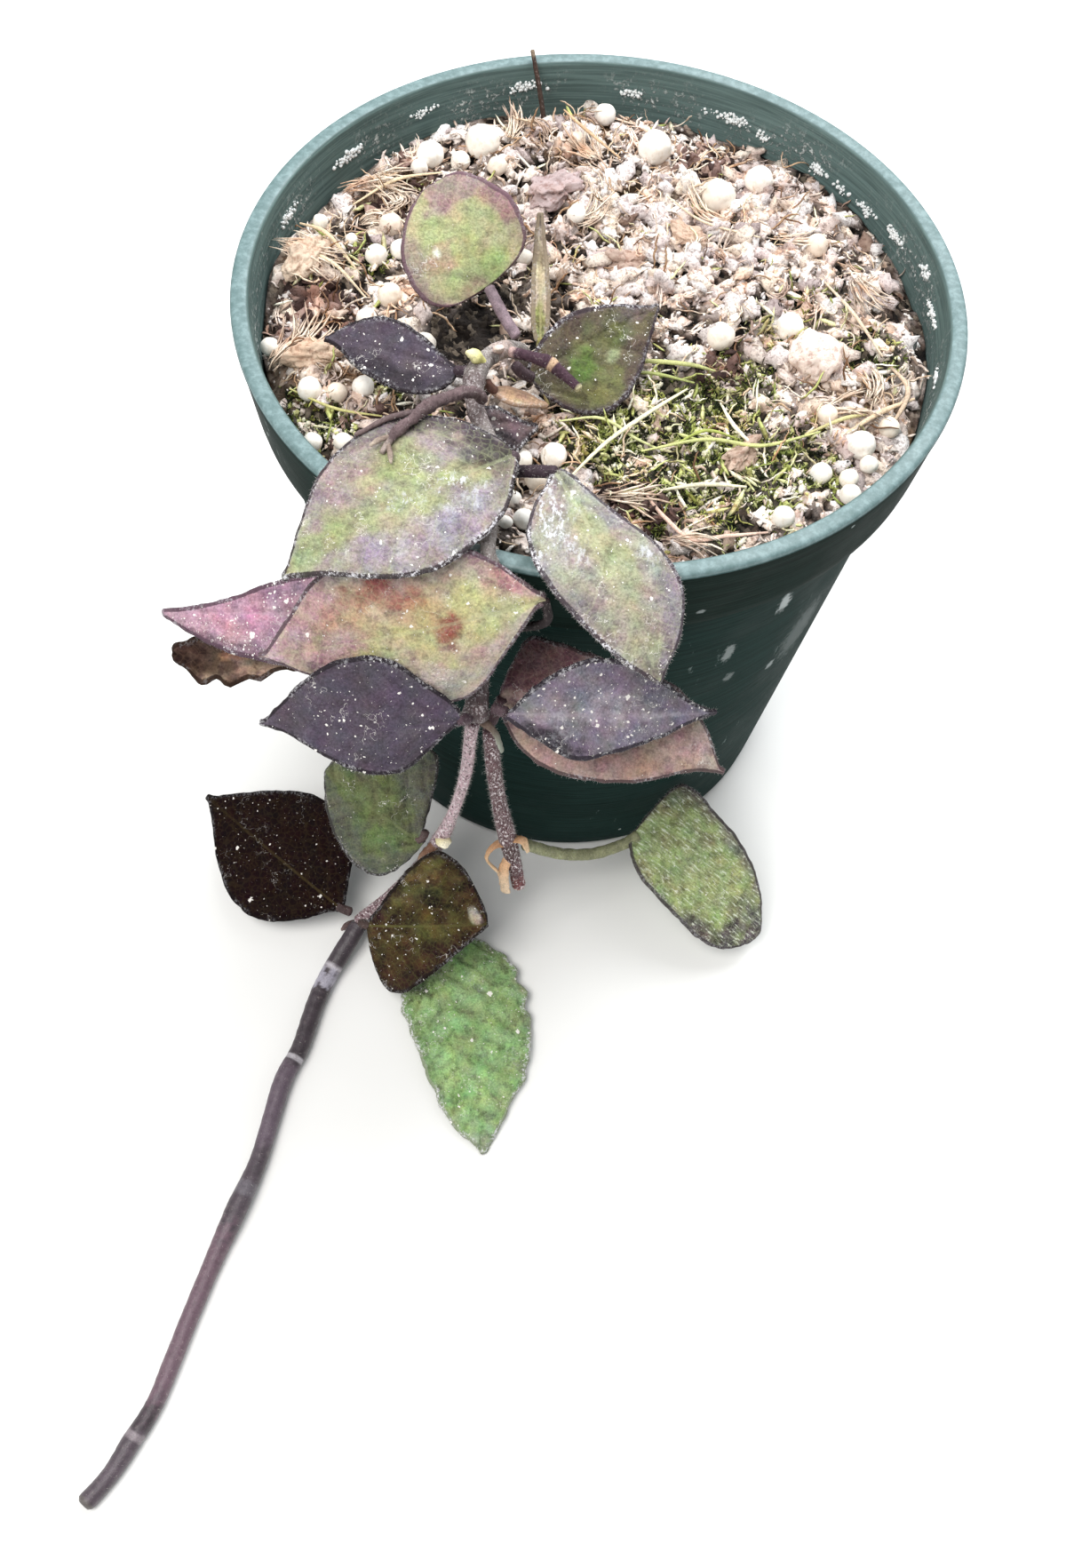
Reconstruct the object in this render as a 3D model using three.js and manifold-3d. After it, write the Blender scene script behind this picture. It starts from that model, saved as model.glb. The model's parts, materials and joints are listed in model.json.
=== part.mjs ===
// A hoya vine with hairy purple-grey leaves, growing in a round nursery pot.
// Millimetres, +Z up. The origin is the centre of the pot's flat base; the vine
// climbs out of the mix, leans over the front rim (-Y) and trails along the
// surface that the pot stands on.

import * as THREE from 'three';
import { mergeVertices } from 'three/addons/utils/BufferGeometryUtils.js';
import Module from 'manifold-3d';

const wasm = await Module();
wasm.setup();

// ---------------------------------------------------------------- dimensions

const GAP = 0.35; // clearance between pieces that touch
const FACET_EASE = 0.15; // more of it where two round walls have facets

const POT = {
  height: 102,
  baseRadius: 40.5,
  wallRadiusUnderCollar: 49.6,
  collarHeight: 14,
  collarFootRadius: 52.4,
  lipRadius: 54,
  lipInnerRadius: 51.3,
  wall: 1.3,
  floor: 1.8,
  baseChamfer: 1.2,
  lipRound: 0.7,
  facets: 48,
  drainHoles: 8,
  drainHoleRadius: 3.5,
  drainHoleCircle: 27,
};

const MIX = {
  level: 95.2, // mean height of the top, about 7 mm under the lip
  facets: 36,
  topRings: 9,
  waves: [ // amplitude, cycles along x and y in radians per mm, phase
    [0.45, 0.21, 0.0, 0.4],
    [0.4, 0.0, 0.19, 1.1],
    [0.35, 0.43, -0.31, 0.0],
    [0.3, 0.28, 0.52, 2.0],
  ],
  heaps: [ // x, y, radius, height: fibre clumps stand up, the dip behind the stem goes down
    [-44, 5, 7, 2.4],
    [-40, -16, 6, 1.6],
    [-8, 42, 7, 1.8],
    [-9, 24, 6, 1.4],
    [20, 12, 13, 1.1],
    [34, -18, 9, 0.8],
    [-19, -4, 6, -3.4],
    [4, -38, 8, -0.8],
  ],
};

// Perlite balls that stand out on the mix: x, y, radius.
const PERLITE = [
  [-21.4, 35.3, 2.8], [-24.6, 31.5, 1.6], [-29.5, 31.5, 2.2], [-18.5, 30.3, 1.6],
  [-2.2, 46.0, 1.8], [6.4, 38.3, 2.7], [17.2, 29.1, 2.7], [23.5, 33.2, 2.3],
  [-33.5, 15.5, 1.9], [-31.2, 9.8, 1.7], [-34.6, 7.2, 1.7], [-31.5, -0.1, 1.9],
  [-34.2, -5.2, 1.6], [-44.4, 14.4, 1.2], [-25.2, -9.2, 1.9], [-40.1, -20.8, 1.8],
  [-36.2, -20.6, 1.5], [-32.7, -18.8, 1.6], [-47.2, -13.2, 1.4], [18.5, -2.4, 2.1],
  [29.0, 4.2, 2.0], [32.8, 18.9, 1.8], [-4.2, -28.6, 1.9], [-8.6, -29.4, 1.5],
  [-6.2, -33.4, 1.7], [-7.4, -39.6, 1.5], [-38.1, -30.2, 1.4], [-33.8, -30.3, 1.3],
  [39.1, -21.6, 2.1], [34.3, -16.6, 1.5], [33.4, -27.3, 1.6], [28.4, -35.1, 1.6],
  [43.6, -16.2, 1.6], [-5.0, 22.0, 1.6], [37.4, -31.2, 1.5], [-12.4, 12.0, 1.4],
];
const LOOSE_PERLITE = { count: 12, smallest: 0.9, largest: 1.5, seed: 11 };
const BIG_PERLITE = 2.6; // a ball with a larger radius gets more faces
const PERLITE_CLEARANCE = 3.4; // kept free round every hole in the mix

// Bark and stone chunks: x, y, half sizes, turn about Z in degrees.
const CHUNKS = [
  [32.3, -5.2, 4.3, 3.8, 2.6, 20], [-8.7, 25.8, 4.2, 2.6, 1.8, 35],
  [-44.6, 3.6, 4.6, 2.4, 2.2, 70], [-40.6, -14.6, 3.8, 2.2, 2.0, 15],
  [12.6, 19.2, 3.2, 2.0, 1.4, -30], [22.0, -24.5, 3.4, 1.6, 1.3, 50],
  [2.8, 12.0, 3.0, 2.0, 1.4, 10], [-24.5, 20.5, 3.2, 1.8, 1.4, -50],
];

// A stem is a list of stations: x, y, z and the radius there, swollen at the nodes.
const STEMS = {
  main_stem: [
    [-9.6, -5.6, 70, 1.5], [-9.8, -6.6, 82, 1.5], [-10.1, -8.4, 92, 1.4],
    [-10.5, -11.6, 98, 1.3], [-11.5, -14.4, 101.4, 1.25], [-13.1, -17.0, 103.6, 1.25],
    [-15.0, -20.5, 104.8, 1.3], [-16.0, -24.0, 104.8, 1.6], [-15.4, -28.0, 103.6, 1.25],
    [-13.1, -33.0, 102.9, 1.2], [-9.8, -39.0, 103.8, 1.7], [-9.6, -46.0, 103.9, 1.2],
    [-10.1, -52.4, 103.6, 1.15], [-10.3, -54.1, 102.7, 1.15], [-10.5, -54.8, 100.4, 1.15],
    [-10.8, -54.9, 91.0, 1.6],
    [-11.0, -60.0, 85.2, 1.3], [-11.2, -63.6, 81.2, 1.9],
  ],
  hanging_stem: [
    [-11.7, -62.4, 77.6, 1.3], [-12.2, -61.0, 71, 1.25], [-13.1, -58.9, 57, 1.25],
    [-15.3, -56.6, 40, 1.25], [-18.0, -55.3, 26.6, 1.9], [-21.0, -55.1, 17.8, 1.35],
    [-26.7, -58.3, 8.8, 1.4], [-32.1, -62.9, 5.0, 2.0],
  ],
  trailing_shoot: [
    [-33.4, -65.6, 3.9, 1.6], [-36.4, -72.2, 2.0, 1.65], [-38.1, -78.2, 1.65, 1.6],
    [-39.4, -86.7, 1.6, 1.55], [-41.3, -92.7, 1.65, 1.6], [-42.2, -100.0, 1.55, 1.5],
    [-43.1, -107.7, 1.6, 1.5], [-45.1, -115.8, 1.85, 1.8], [-47.3, -124.4, 1.55, 1.5],
    [-49.2, -133.0, 1.5, 1.45], [-50.6, -140.0, 1.5, 1.45], [-52.1, -146.9, 1.5, 1.4],
    [-54.4, -152.4, 1.6, 1.55], [-56.6, -157.4, 1.5, 1.4], [-59.4, -161.6, 1.5, 1.45],
  ],
  cut_branch: [
    [-9.6, -59.6, 71.5, 1.2], [-9.2, -58.6, 64, 1.4], [-8.8, -57.8, 56, 1.45],
    [-7.9, -56.4, 44, 1.5], [-6.2, -55.8, 30, 1.9], [-4.7, -56.2, 21, 1.5],
    [-3.8, -56.8, 15, 1.5],
  ],
  peduncle: [
    [-14.5, -28.4, 105.6, 0.9], [-15.3, -31.4, 110.0, 1.0], [-17.6, -34.2, 112.6, 1.15],
    [-19.9, -36.4, 113.4, 0.95], [-22.1, -38.2, 113.5, 1.2], [-23.8, -40.3, 113.2, 0.9],
    [-25.0, -41.8, 112.9, 1.0], [-26.0, -43.8, 112.4, 0.7],
  ],
  cut_spur: [
    [-11.6, -18.4, 104.9, 0.75], [-9.2, -18.9, 104.9, 0.75], [-6.4, -19.2, 104.5, 0.95],
    [-4.6, -20.2, 104.0, 0.8], [-1.6, -22.4, 103.2, 0.6],
  ],
  rim_twig: [
    [-11.4, 40.2, 94.6, 0.4], [-12.4, 43.4, 97.6, 0.4], [-13.5, 46.4, 100.4, 0.4],
    [-15.0, 50.4, 103.5, 0.35],
  ],
};
const STEM_SIDES = 8;
const STEM_STEPS = 2; // rings from one station to the next

// Dry scales and stipules that grew on a stem and are one piece with it: short stems too.
const SCALES = {
  main_stem: [
    [[-15.0, -21.6, 105.6, 0.7], [-16.2, -22.2, 107.2, 1.1], [-17.2, -22.6, 108.0, 0.4]],
    [[-13.6, -18.2, 104.0, 0.7], [-13.2, -19.2, 106.0, 0.9], [-12.9, -20.2, 107.0, 0.35]],
    [[-11.0, -63.4, 81.0, 0.8], [-8.4, -64.6, 79.2, 0.55], [-7.2, -65.2, 75.4, 0.4]],
  ],
  hanging_stem: [
    [[-17.8, -55.8, 28.4, 1.0], [-17.0, -57.2, 29.4, 1.3], [-16.6, -58.2, 29.6, 0.5]],
    [[-18.6, -55.8, 26.0, 0.9], [-20.6, -57.4, 23.6, 1.0], [-21.4, -58.0, 21.4, 0.4]],
    [[-32.1, -62.9, 5.0, 0.9], [-34.6, -63.2, 3.4, 0.7], [-35.6, -63.4, 2.0, 0.35]],
  ],
  cut_branch: [
    [[-6.6, -56.0, 29.6, 0.9], [-8.6, -57.2, 29.6, 0.6], [-9.6, -58.0, 26.4, 0.5], [-7.6, -58.4, 22.8, 0.6]],
    [[-6.0, -56.4, 24.8, 0.8], [-6.6, -58.0, 22.4, 1.0], [-6.0, -59.0, 16.4, 0.95]],
    [[-5.4, -55.8, 30.6, 0.9], [-3.6, -57.0, 32.6, 0.8], [-2.6, -57.6, 30.0, 0.4]],
  ],
};

// A leaf lies along the line from base to tip, with its upper side towards `face`.
// arch lifts the midrib in the middle and cup lifts (or drops) the left and right margin, in mm.
// left and right are the half widths at seven stations that close up towards the ends.
// The petiole starts beside its stem and ends in the blade.
const LEAVES = {
  round_leaf: {
    base: [-16, -4.5, 104], tip: [-26, 3, 113], face: [-0.1, -0.62, 0.78], arch: 1, cup: [0.6, 0.6],
    left: [5.8, 8.2, 9, 8.8, 7.6, 5.2, 2.4], right: [5.2, 7.8, 8.8, 9, 7.8, 6.4, 4.4],
    petiole: [[-11.5, -10.4, 100.2], [-13.8, -7.8, 101.8], [-16, -5, 103.6]],
  },
  dark_left_leaf: {
    base: [-18.8, -20.2, 102], tip: [-38.5, -14.5, 100], face: [0.05, -0.35, 0.93], arch: 1, cup: [1, 1],
    left: [2.8, 5, 5.6, 4.8, 3.4, 1.2, 0.4], right: [0.6, 1.6, 3.2, 4.4, 4.2, 2.6, 0.8],
    petiole: [[-17.1, -21.4, 103.4], [-17.9, -20.8, 102.6], [-18.8, -20.2, 102]],
  },
  mottled_right_leaf: {
    base: [-8.5, -17, 99], tip: [8.5, -3.5, 102], face: [0.1, -0.5, 0.86], arch: 1.5, cup: [1, 1],
    left: [2, 3.4, 4.6, 4.4, 3.2, 1.4, 0.4], right: [4.4, 8, 9.8, 8.8, 6, 3, 1],
    petiole: [[-10.9, -17.2, 101.2], [-9.9, -17.2, 99.9], [-8.5, -17, 99]],
  },
  large_rim_leaf: {
    base: [-9, -41.5, 109.6], tip: [-36.4, -59, 102.6], face: [-0.15, -0.42, 0.9], arch: 3.4, cup: [-1.5, -1.5],
    left: [2.6, 6.4, 8.6, 9.2, 6.6, 2.8, 0.8], right: [4, 8.2, 10.8, 11.4, 9, 4.4, 1],
    petiole: [[-9.6, -39.6, 106.3], [-9, -40.4, 108], [-9.2, -41.6, 109.6]],
  },
  silver_rim_leaf: {
    base: [-3.5, -42, 108], tip: [12.5, -65, 96.5], face: [0.25, -0.5, 0.85], arch: 3, cup: [-1, -1],
    left: [1.6, 2.6, 4.6, 7.4, 7.8, 5.2, 1.6], right: [1.6, 6, 8, 7.6, 5.8, 3.6, 1.2],
    petiole: [[-7.6, -39.8, 105.0], [-5.8, -41, 106.8], [-3.5, -42, 108]],
  },
  blotched_leaf: {
    base: [-3, -57, 100.5], tip: [-40.5, -62, 88.5], face: [0, -0.78, 0.62], arch: 2.9, cup: [-4.5, 0.5],
    left: [0.8, 4.8, 10.6, 11.6, 7.6, 3.2, 0.8], right: [2.2, 7.2, 10.8, 11.2, 9.6, 4.4, 0.8],
    petiole: [[-8.6, -54.9, 91.2], [-5.6, -56, 92.8], [-2.4, -57.6, 96.6], [-3, -57, 100.4]],
  },
  pink_leaf: {
    base: [-23, -53, 88.5], tip: [-57, -52, 82], face: [-0.1, -0.6, 0.8], arch: 1.5, cup: [0.8, 0.8],
    left: [4, 6.2, 7, 6.8, 5.4, 3.2, 1.2], right: [3.8, 5.4, 5.4, 4.2, 2, 0.8, 0.4],
    petiole: [[-12.9, -55.1, 90.4], [-17.2, -54.6, 88.8], [-23, -53, 88.5]],
  },
  dark_pair_left_leaf: {
    base: [-13, -67, 85.5], tip: [-40, -68.5, 82], face: [-0.1, -0.8, 0.6], arch: 3.5, cup: [1, 1],
    left: [1, 3.4, 6.2, 5.6, 3.2, 1, 0.4], right: [2.8, 5.8, 9.8, 10.2, 7.6, 3.6, 0.8],
    petiole: [[-12.2, -65.2, 83], [-12.6, -66.2, 84.4], [-13.2, -67, 85.5]],
  },
  dark_pair_right_leaf: {
    base: [-7.4, -63.4, 82.6], tip: [22.5, -55.5, 76], face: [0.1, -0.65, 0.75], arch: 2.5, cup: [1, 1],
    left: [0.6, 4.2, 7.4, 7.6, 4.8, 1.8, 0.4], right: [1.2, 3.4, 6, 5, 3.4, 1.4, 0.4],
    petiole: [[-8.8, -62.7, 82.3], [-7, -63.3, 82.6]],
  },
  maroon_leaf: {
    base: [-8.5, -57.5, 77], tip: [25, -60.5, 68], face: [0.1, -0.6, 0.78], arch: 1.5, cup: [-1, -1],
    left: [9, 10, 10, 10, 9.4, 5.4, 1], right: [2.2, 5.8, 7.4, 6.8, 4.6, 1.4, 0.4],
    petiole: [[-9.3, -59.3, 73.4], [-8.7, -58.5, 75.2], [-8, -57.5, 77]],
  },
  green_grey_leaf: {
    base: [-20.9, -56, 26], tip: [-38.5, -47.5, 33], face: [-0.2, -0.6, 0.78], arch: 1.5, cup: [-0.8, -0.8],
    left: [6.4, 9.8, 10.2, 9.2, 7, 4.2, 1.6], right: [0.6, 6, 13, 14.6, 11.8, 8.8, 5.4],
    petiole: [[-20.7, -54.6, 27.6], [-21, -55.2, 26.9], [-21.8, -55.7, 26.4]],
  },
  near_black_leaf: {
    base: [-35.8, -61.4, 7], tip: [-63, -44, 12], face: [-0.1, -0.4, 0.9], arch: 1.5, cup: [-0.5, -0.5],
    left: [1.6, 6.4, 10.8, 11.2, 8, 3.6, 0.8], right: [3.2, 9, 13, 12.8, 9.2, 4.4, 1],
    petiole: [[-34, -61.6, 6.3], [-35, -61.5, 6.7], [-36.2, -61.1, 7.1]],
  },
  folded_mottled_leaf: {
    base: [-30, -65.5, 10], tip: [-8.5, -65.5, 16], face: [0.05, -0.6, 0.8], arch: 1, cup: [5, 2],
    left: [1.4, 4, 7.8, 11.8, 14.2, 11.6, 4.6], right: [6.8, 11.2, 11.6, 9, 5.8, 3, 1],
    petiole: [[-31.4, -64.1, 7.4], [-30.8, -64.8, 8.8], [-29.8, -65.5, 10.1]],
  },
  green_puckered_leaf: {
    base: [-20, -64.5, 2.2], tip: [-5, -101.5, 0.6], face: [0.03, -0.05, 0.99], arch: 1, cup: [-0.6, -0.6],
    left: [8.6, 13, 14.8, 14.2, 11.4, 5.8, 1.8], right: [2.2, 5.4, 7, 6.2, 5.4, 3.8, 1],
    petiole: [[-29.4, -63.2, 3.4], [-25, -63.6, 2.2], [-19.8, -65, 2.2]],
  },
  green_woolly_leaf: {
    base: [16, -46, 19], tip: [41, -57, 5], face: [0.2, -0.45, 0.87], arch: 1.5, cup: [-0.8, -0.8],
    left: [11, 13, 12.2, 11.2, 9, 5.8, 2.2], right: [2.8, 5.2, 6.4, 7.2, 7.6, 6.6, 3.2],
    petiole: [[-3.2, -54.6, 26.6], [2.9, -52.5, 20.4], [9, -50, 16.8], [14.2, -47.6, 17], [16.6, -46.6, 18.8]],
  },
  small_maroon_leaf: {
    base: [-15.5, -27.4, 100.6], tip: [-7, -26, 98.5], face: [0.15, -0.6, 0.78], arch: 0.3, cup: [0.4, 0.4],
    left: [1.6, 1.8, 2, 1.4, 0.8, 0.5, 0.4], right: [0.8, 1.4, 2.2, 3.2, 3.6, 2, 0.6],
    petiole: [[-16.1, -26.9, 101.7], [-15.9, -27.3, 101.1], [-15.2, -27.4, 100.6]],
  },
  dry_bract: {
    base: [-13.4, -22.8, 101.6], tip: [-6, -20.8, 97.6], face: [0.1, -0.4, 0.9], arch: 0.4, cup: [0.3, 0.3],
    left: [0.6, 0.8, 0.9, 0.8, 0.6, 0.4, 0.3], right: [0.7, 1.2, 1.5, 1.4, 1, 0.6, 0.3],
    petiole: [[-14.4, -22.6, 103.0], [-13.9, -22.8, 102.2], [-13.2, -22.8, 101.6]],
  },
  dry_upright_leaf: {
    base: [-8.0, -9.0, 98.4], tip: [-9.8, 5.2, 109], face: [0.1, -0.85, 0.5], arch: -0.6, cup: [0.8, 0.8],
    left: [0.9, 1.2, 1.2, 1.1, 0.9, 0.6, 0.4], right: [0.9, 1.2, 1.3, 1.2, 0.9, 0.6, 0.4],
    petiole: [[-7.8, -10.0, 93.4], [-7.8, -9.8, 96], [-8.0, -8.8, 98.6]],
  },
  dry_leaf: {
    base: [-20, -54.6, 84.6], tip: [-55.5, -56, 77], face: [-0.1, -0.7, 0.7], arch: 0.6, cup: [1.6, 1.6],
    left: [1.2, 2, 2.4, 2.8, 3.4, 3.4, 1.6], right: [1.2, 2, 2.4, 2.8, 3, 2.8, 2],
    petiole: [[-12.8, -57, 87.6], [-16.6, -56, 85.4], [-20.4, -54.8, 84.6]],
  },
};
const BLADE = {
  thickness: 0.9,
  marginThickness: 0.62,
  rootHalfWidth: 0.6,
  tipHalfWidth: 0.25,
  rows: 9,
  columns: 4,
  thinRows: 6,
  thinColumns: 2,
};
const THIN_LEAVES = ['small_maroon_leaf', 'dry_bract', 'dry_upright_leaf', 'dry_leaf'];
const PETIOLE_RADIUS = 0.85;
const PETIOLE_SIDES = 6;
const HOLE_EASE = 0.4; // a hole in the mix is this much wider still, because its wall has flats

// ------------------------------------------------------------------- finishes

const finish = (color, roughness) => new THREE.MeshStandardMaterial({ color, roughness, metalness: 0 });
const FINISHES = {
  pot: finish(0x1f3f3b, 0.5),
  soil: finish(0xb9a78f, 0.95),
  main_stem: finish(0x85777a, 0.8),
  hanging_stem: finish(0x8a6a72, 0.8),
  trailing_shoot: finish(0x3d3138, 0.55),
  cut_branch: finish(0x5a3f40, 0.8),
  peduncle: finish(0x4a3238, 0.85),
  cut_spur: finish(0x4a3038, 0.85),
  rim_twig: finish(0x2b211c, 0.9),
  round_leaf: finish(0x7c8a4e, 0.6),
  dark_left_leaf: finish(0x35282f, 0.6),
  mottled_right_leaf: finish(0x4d4f35, 0.6),
  large_rim_leaf: finish(0x85857a, 0.6),
  silver_rim_leaf: finish(0x8b9180, 0.6),
  blotched_leaf: finish(0xb09a78, 0.6),
  pink_leaf: finish(0x9a5a72, 0.6),
  dark_pair_left_leaf: finish(0x4a4048, 0.6),
  dark_pair_right_leaf: finish(0x554c58, 0.6),
  maroon_leaf: finish(0x6d4540, 0.6),
  green_grey_leaf: finish(0x5b6248, 0.6),
  near_black_leaf: finish(0x1c1113, 0.6),
  folded_mottled_leaf: finish(0x2e2a1c, 0.6),
  green_puckered_leaf: finish(0x4e8a45, 0.6),
  green_woolly_leaf: finish(0x5d8040, 0.8),
  small_maroon_leaf: finish(0x5a4046, 0.7),
  dry_bract: finish(0xc3a07a, 0.9),
  dry_upright_leaf: finish(0xa9a57f, 0.9),
  dry_leaf: finish(0x5a4334, 0.9),
};

// -------------------------------------------------------------- solid helpers

/** Turns a closed geometry into a solid that can be joined and cut. */
function toSolid(geometry) {
  const bare = geometry.clone();
  bare.deleteAttribute('normal');
  bare.deleteAttribute('uv');
  const merged = mergeVertices(bare, 1e-4);
  return new wasm.Manifold(new wasm.Mesh({
    numProp: 3,
    vertProperties: Float32Array.from(merged.attributes.position.array),
    triVerts: Uint32Array.from(merged.index.array),
  }));
}

/** Turns a solid back into a geometry. */
function toGeometry(solid) {
  const mesh = solid.getMesh();
  const geometry = new THREE.BufferGeometry();
  geometry.setAttribute('position', new THREE.BufferAttribute(mesh.vertProperties, 3));
  geometry.setIndex(new THREE.BufferAttribute(mesh.triVerts, 1));
  geometry.computeVertexNormals();
  return geometry;
}

/** Joins a list of solids into one. */
const fuse = (solids) => solids.reduce((sum, solid) => sum.add(solid));

/** A geometry from a list of points and a list of triangles. */
function meshFrom(points, triangles) {
  const geometry = new THREE.BufferGeometry();
  geometry.setAttribute('position', new THREE.Float32BufferAttribute(points.flatMap((p) => [p.x, p.y, p.z]), 3));
  geometry.setIndex(triangles.flat());
  return geometry;
}

/** A repeatable random number from 0 to 1. */
function makeRandom(seed) {
  let state = seed >>> 0;
  return () => {
    state = (Math.imul(state, 1664525) + 1013904223) >>> 0;
    return state / 4294967296;
  };
}

const vector = ([x, y, z]) => new THREE.Vector3(x, y, z);

/** The smooth value at x along an evenly spaced list, which runs on straight past its ends. */
function smoothValue(list, x) {
  const last = list.length - 1;
  const i = Math.min(Math.floor(x), last - 1);
  const f = x - i;
  const p1 = list[i];
  const p2 = list[i + 1];
  const p0 = i > 0 ? list[i - 1] : 2 * p1 - p2;
  const p3 = i < last - 1 ? list[i + 2] : 2 * p2 - p1;
  return 0.5 * (2 * p1 + (p2 - p0) * f + (2 * p0 - 5 * p1 + 4 * p2 - p3) * f * f
    + (3 * p1 - p0 - 3 * p2 + p3) * f * f * f);
}

/** A round solid along stations of x, y, z and radius, with softly closed ends. */
function stemGeometry(stations, sides, steps, grow = 0) {
  const spans = (stations.length - 1) * steps;
  const at = (k) => [0, 1, 2, 3].map((axis) => smoothValue(stations.map((s) => s[axis]), k / steps));
  const rings = Array.from({ length: spans + 1 }, (_, k) => at(k));
  const centres = rings.map(([x, y, z]) => new THREE.Vector3(x, y, z));
  const along = centres.map((_, k) => {
    const before = centres[Math.max(k - 1, 0)];
    const after = centres[Math.min(k + 1, spans)];
    return after.clone().sub(before).normalize();
  });
  let side = new THREE.Vector3(0, 0, 1).cross(along[0]);
  if (side.length() < 0.1) side = new THREE.Vector3(1, 0, 0);
  const points = [];
  const addRing = (centre, direction, radius) => {
    side = side.clone().addScaledVector(direction, -side.dot(direction)).normalize();
    const up = direction.clone().cross(side);
    for (let s = 0; s < sides; s += 1) {
      const angle = (2 * Math.PI * s) / sides;
      points.push(centre.clone()
        .addScaledVector(side, radius * Math.cos(angle))
        .addScaledVector(up, radius * Math.sin(angle)));
    }
  };
  const endInset = 0.3; // share of the radius that the rounded end steps in
  const firstRadius = rings[0][3] + grow;
  const lastRadius = rings[spans][3] + grow;
  const start = centres[0].clone().addScaledVector(along[0], -endInset * firstRadius);
  const end = centres[spans].clone().addScaledVector(along[spans], endInset * lastRadius);
  addRing(start, along[0], firstRadius * (1 - endInset));
  rings.forEach((ring, k) => addRing(centres[k], along[k], ring[3] + grow));
  addRing(end, along[spans], lastRadius * (1 - endInset));
  const ringCount = spans + 3;
  const triangles = [];
  for (let k = 0; k < ringCount - 1; k += 1) {
    for (let s = 0; s < sides; s += 1) {
      const a = k * sides + s;
      const b = k * sides + ((s + 1) % sides);
      triangles.push([a, b, b + sides], [a, b + sides, a + sides]);
    }
  }
  const lastRing = (ringCount - 1) * sides;
  for (let s = 1; s < sides - 1; s += 1) {
    triangles.push([0, s + 1, s], [lastRing, lastRing + s, lastRing + s + 1]);
  }
  return meshFrom(points, triangles);
}

// ------------------------------------------------------------------ sub-parts

/** The blade of a leaf: one curved sheet, thick at the midrib and thin at the margin. */
function bladeGeometry(leaf, rows, columns) {
  const base = vector(leaf.base);
  const along = vector(leaf.tip).sub(base);
  const length = along.length();
  along.normalize();
  const up = vector(leaf.face);
  up.addScaledVector(along, -up.dot(along)).normalize();
  const across = along.clone().cross(up);
  const widths = {
    left: [BLADE.rootHalfWidth, ...leaf.left, BLADE.tipHalfWidth],
    right: [BLADE.rootHalfWidth, ...leaf.right, BLADE.tipHalfWidth],
  };
  const widest = Math.max(...leaf.left, ...leaf.right);
  const middle = (row, column) => {
    const angle = (Math.PI * row) / rows;
    const t = (1 - Math.cos(angle)) / 2;
    const s = (2 * column) / columns - 1;
    const list = s < 0 ? widths.left : widths.right;
    const offset = s * smoothValue(list, (row / rows) * (list.length - 1));
    const cup = leaf.cup[s < 0 ? 0 : 1];
    const lift = leaf.arch * Math.sin(Math.PI * t) + cup * (offset / widest) ** 2;
    return base.clone()
      .addScaledVector(along, t * length)
      .addScaledVector(across, offset)
      .addScaledVector(up, lift);
  };
  const grid = [];
  for (let row = 0; row <= rows; row += 1) {
    grid.push(Array.from({ length: columns + 1 }, (_, column) => middle(row, column)));
  }
  const faces = { top: [], bottom: [] };
  for (let row = 0; row <= rows; row += 1) {
    for (let column = 0; column <= columns; column += 1) {
      const down = grid[Math.min(row + 1, rows)][column].clone().sub(grid[Math.max(row - 1, 0)][column]);
      const over = grid[row][Math.min(column + 1, columns)].clone().sub(grid[row][Math.max(column - 1, 0)]);
      const normal = over.cross(down).normalize();
      const edge = Math.abs((2 * column) / columns - 1) ** 2;
      const half = (BLADE.thickness + (BLADE.marginThickness - BLADE.thickness) * edge) / 2;
      faces.top.push(grid[row][column].clone().addScaledVector(normal, half));
      faces.bottom.push(grid[row][column].clone().addScaledVector(normal, -half));
    }
  }
  const points = [...faces.top, ...faces.bottom];
  const under = faces.top.length;
  const id = (row, column) => row * (columns + 1) + column;
  const triangles = [];
  for (let row = 0; row < rows; row += 1) {
    for (let column = 0; column < columns; column += 1) {
      const [a, b, c, d] = [id(row, column), id(row, column + 1), id(row + 1, column + 1), id(row + 1, column)];
      triangles.push([a, b, c], [a, c, d]);
      triangles.push([under + a, under + c, under + b], [under + a, under + d, under + c]);
    }
  }
  const rim = [];
  for (let column = 0; column < columns; column += 1) rim.push(id(0, column));
  for (let row = 0; row < rows; row += 1) rim.push(id(row, columns));
  for (let column = columns; column > 0; column -= 1) rim.push(id(rows, column));
  for (let row = rows; row > 0; row -= 1) rim.push(id(row, 0));
  rim.forEach((a, k) => {
    const b = rim[(k + 1) % rim.length];
    triangles.push([a, under + a, under + b], [a, under + b, b]);
  });
  return meshFrom(points, triangles);
}

/** A leaf with its stalk, grown as one piece. */
function leafSolid(name) {
  const leaf = LEAVES[name];
  const thin = THIN_LEAVES.includes(name);
  const blade = bladeGeometry(leaf, thin ? BLADE.thinRows : BLADE.rows, thin ? BLADE.thinColumns : BLADE.columns);
  const stalkRadius = thin ? PETIOLE_RADIUS * 0.75 : PETIOLE_RADIUS;
  const stations = leaf.petiole.map((point) => [...point, stalkRadius]);
  return toSolid(blade).add(toSolid(stemGeometry(stations, PETIOLE_SIDES, 1)));
}

/** A stem with the dry scales that grew on it. */
function stemSolid(name) {
  const stem = toSolid(stemGeometry(STEMS[name], STEM_SIDES, STEM_STEPS));
  const scales = (SCALES[name] ?? []).map((stations) => toSolid(stemGeometry(stations, PETIOLE_SIDES, 1)));
  return fuse([stem, ...scales]);
}

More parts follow.
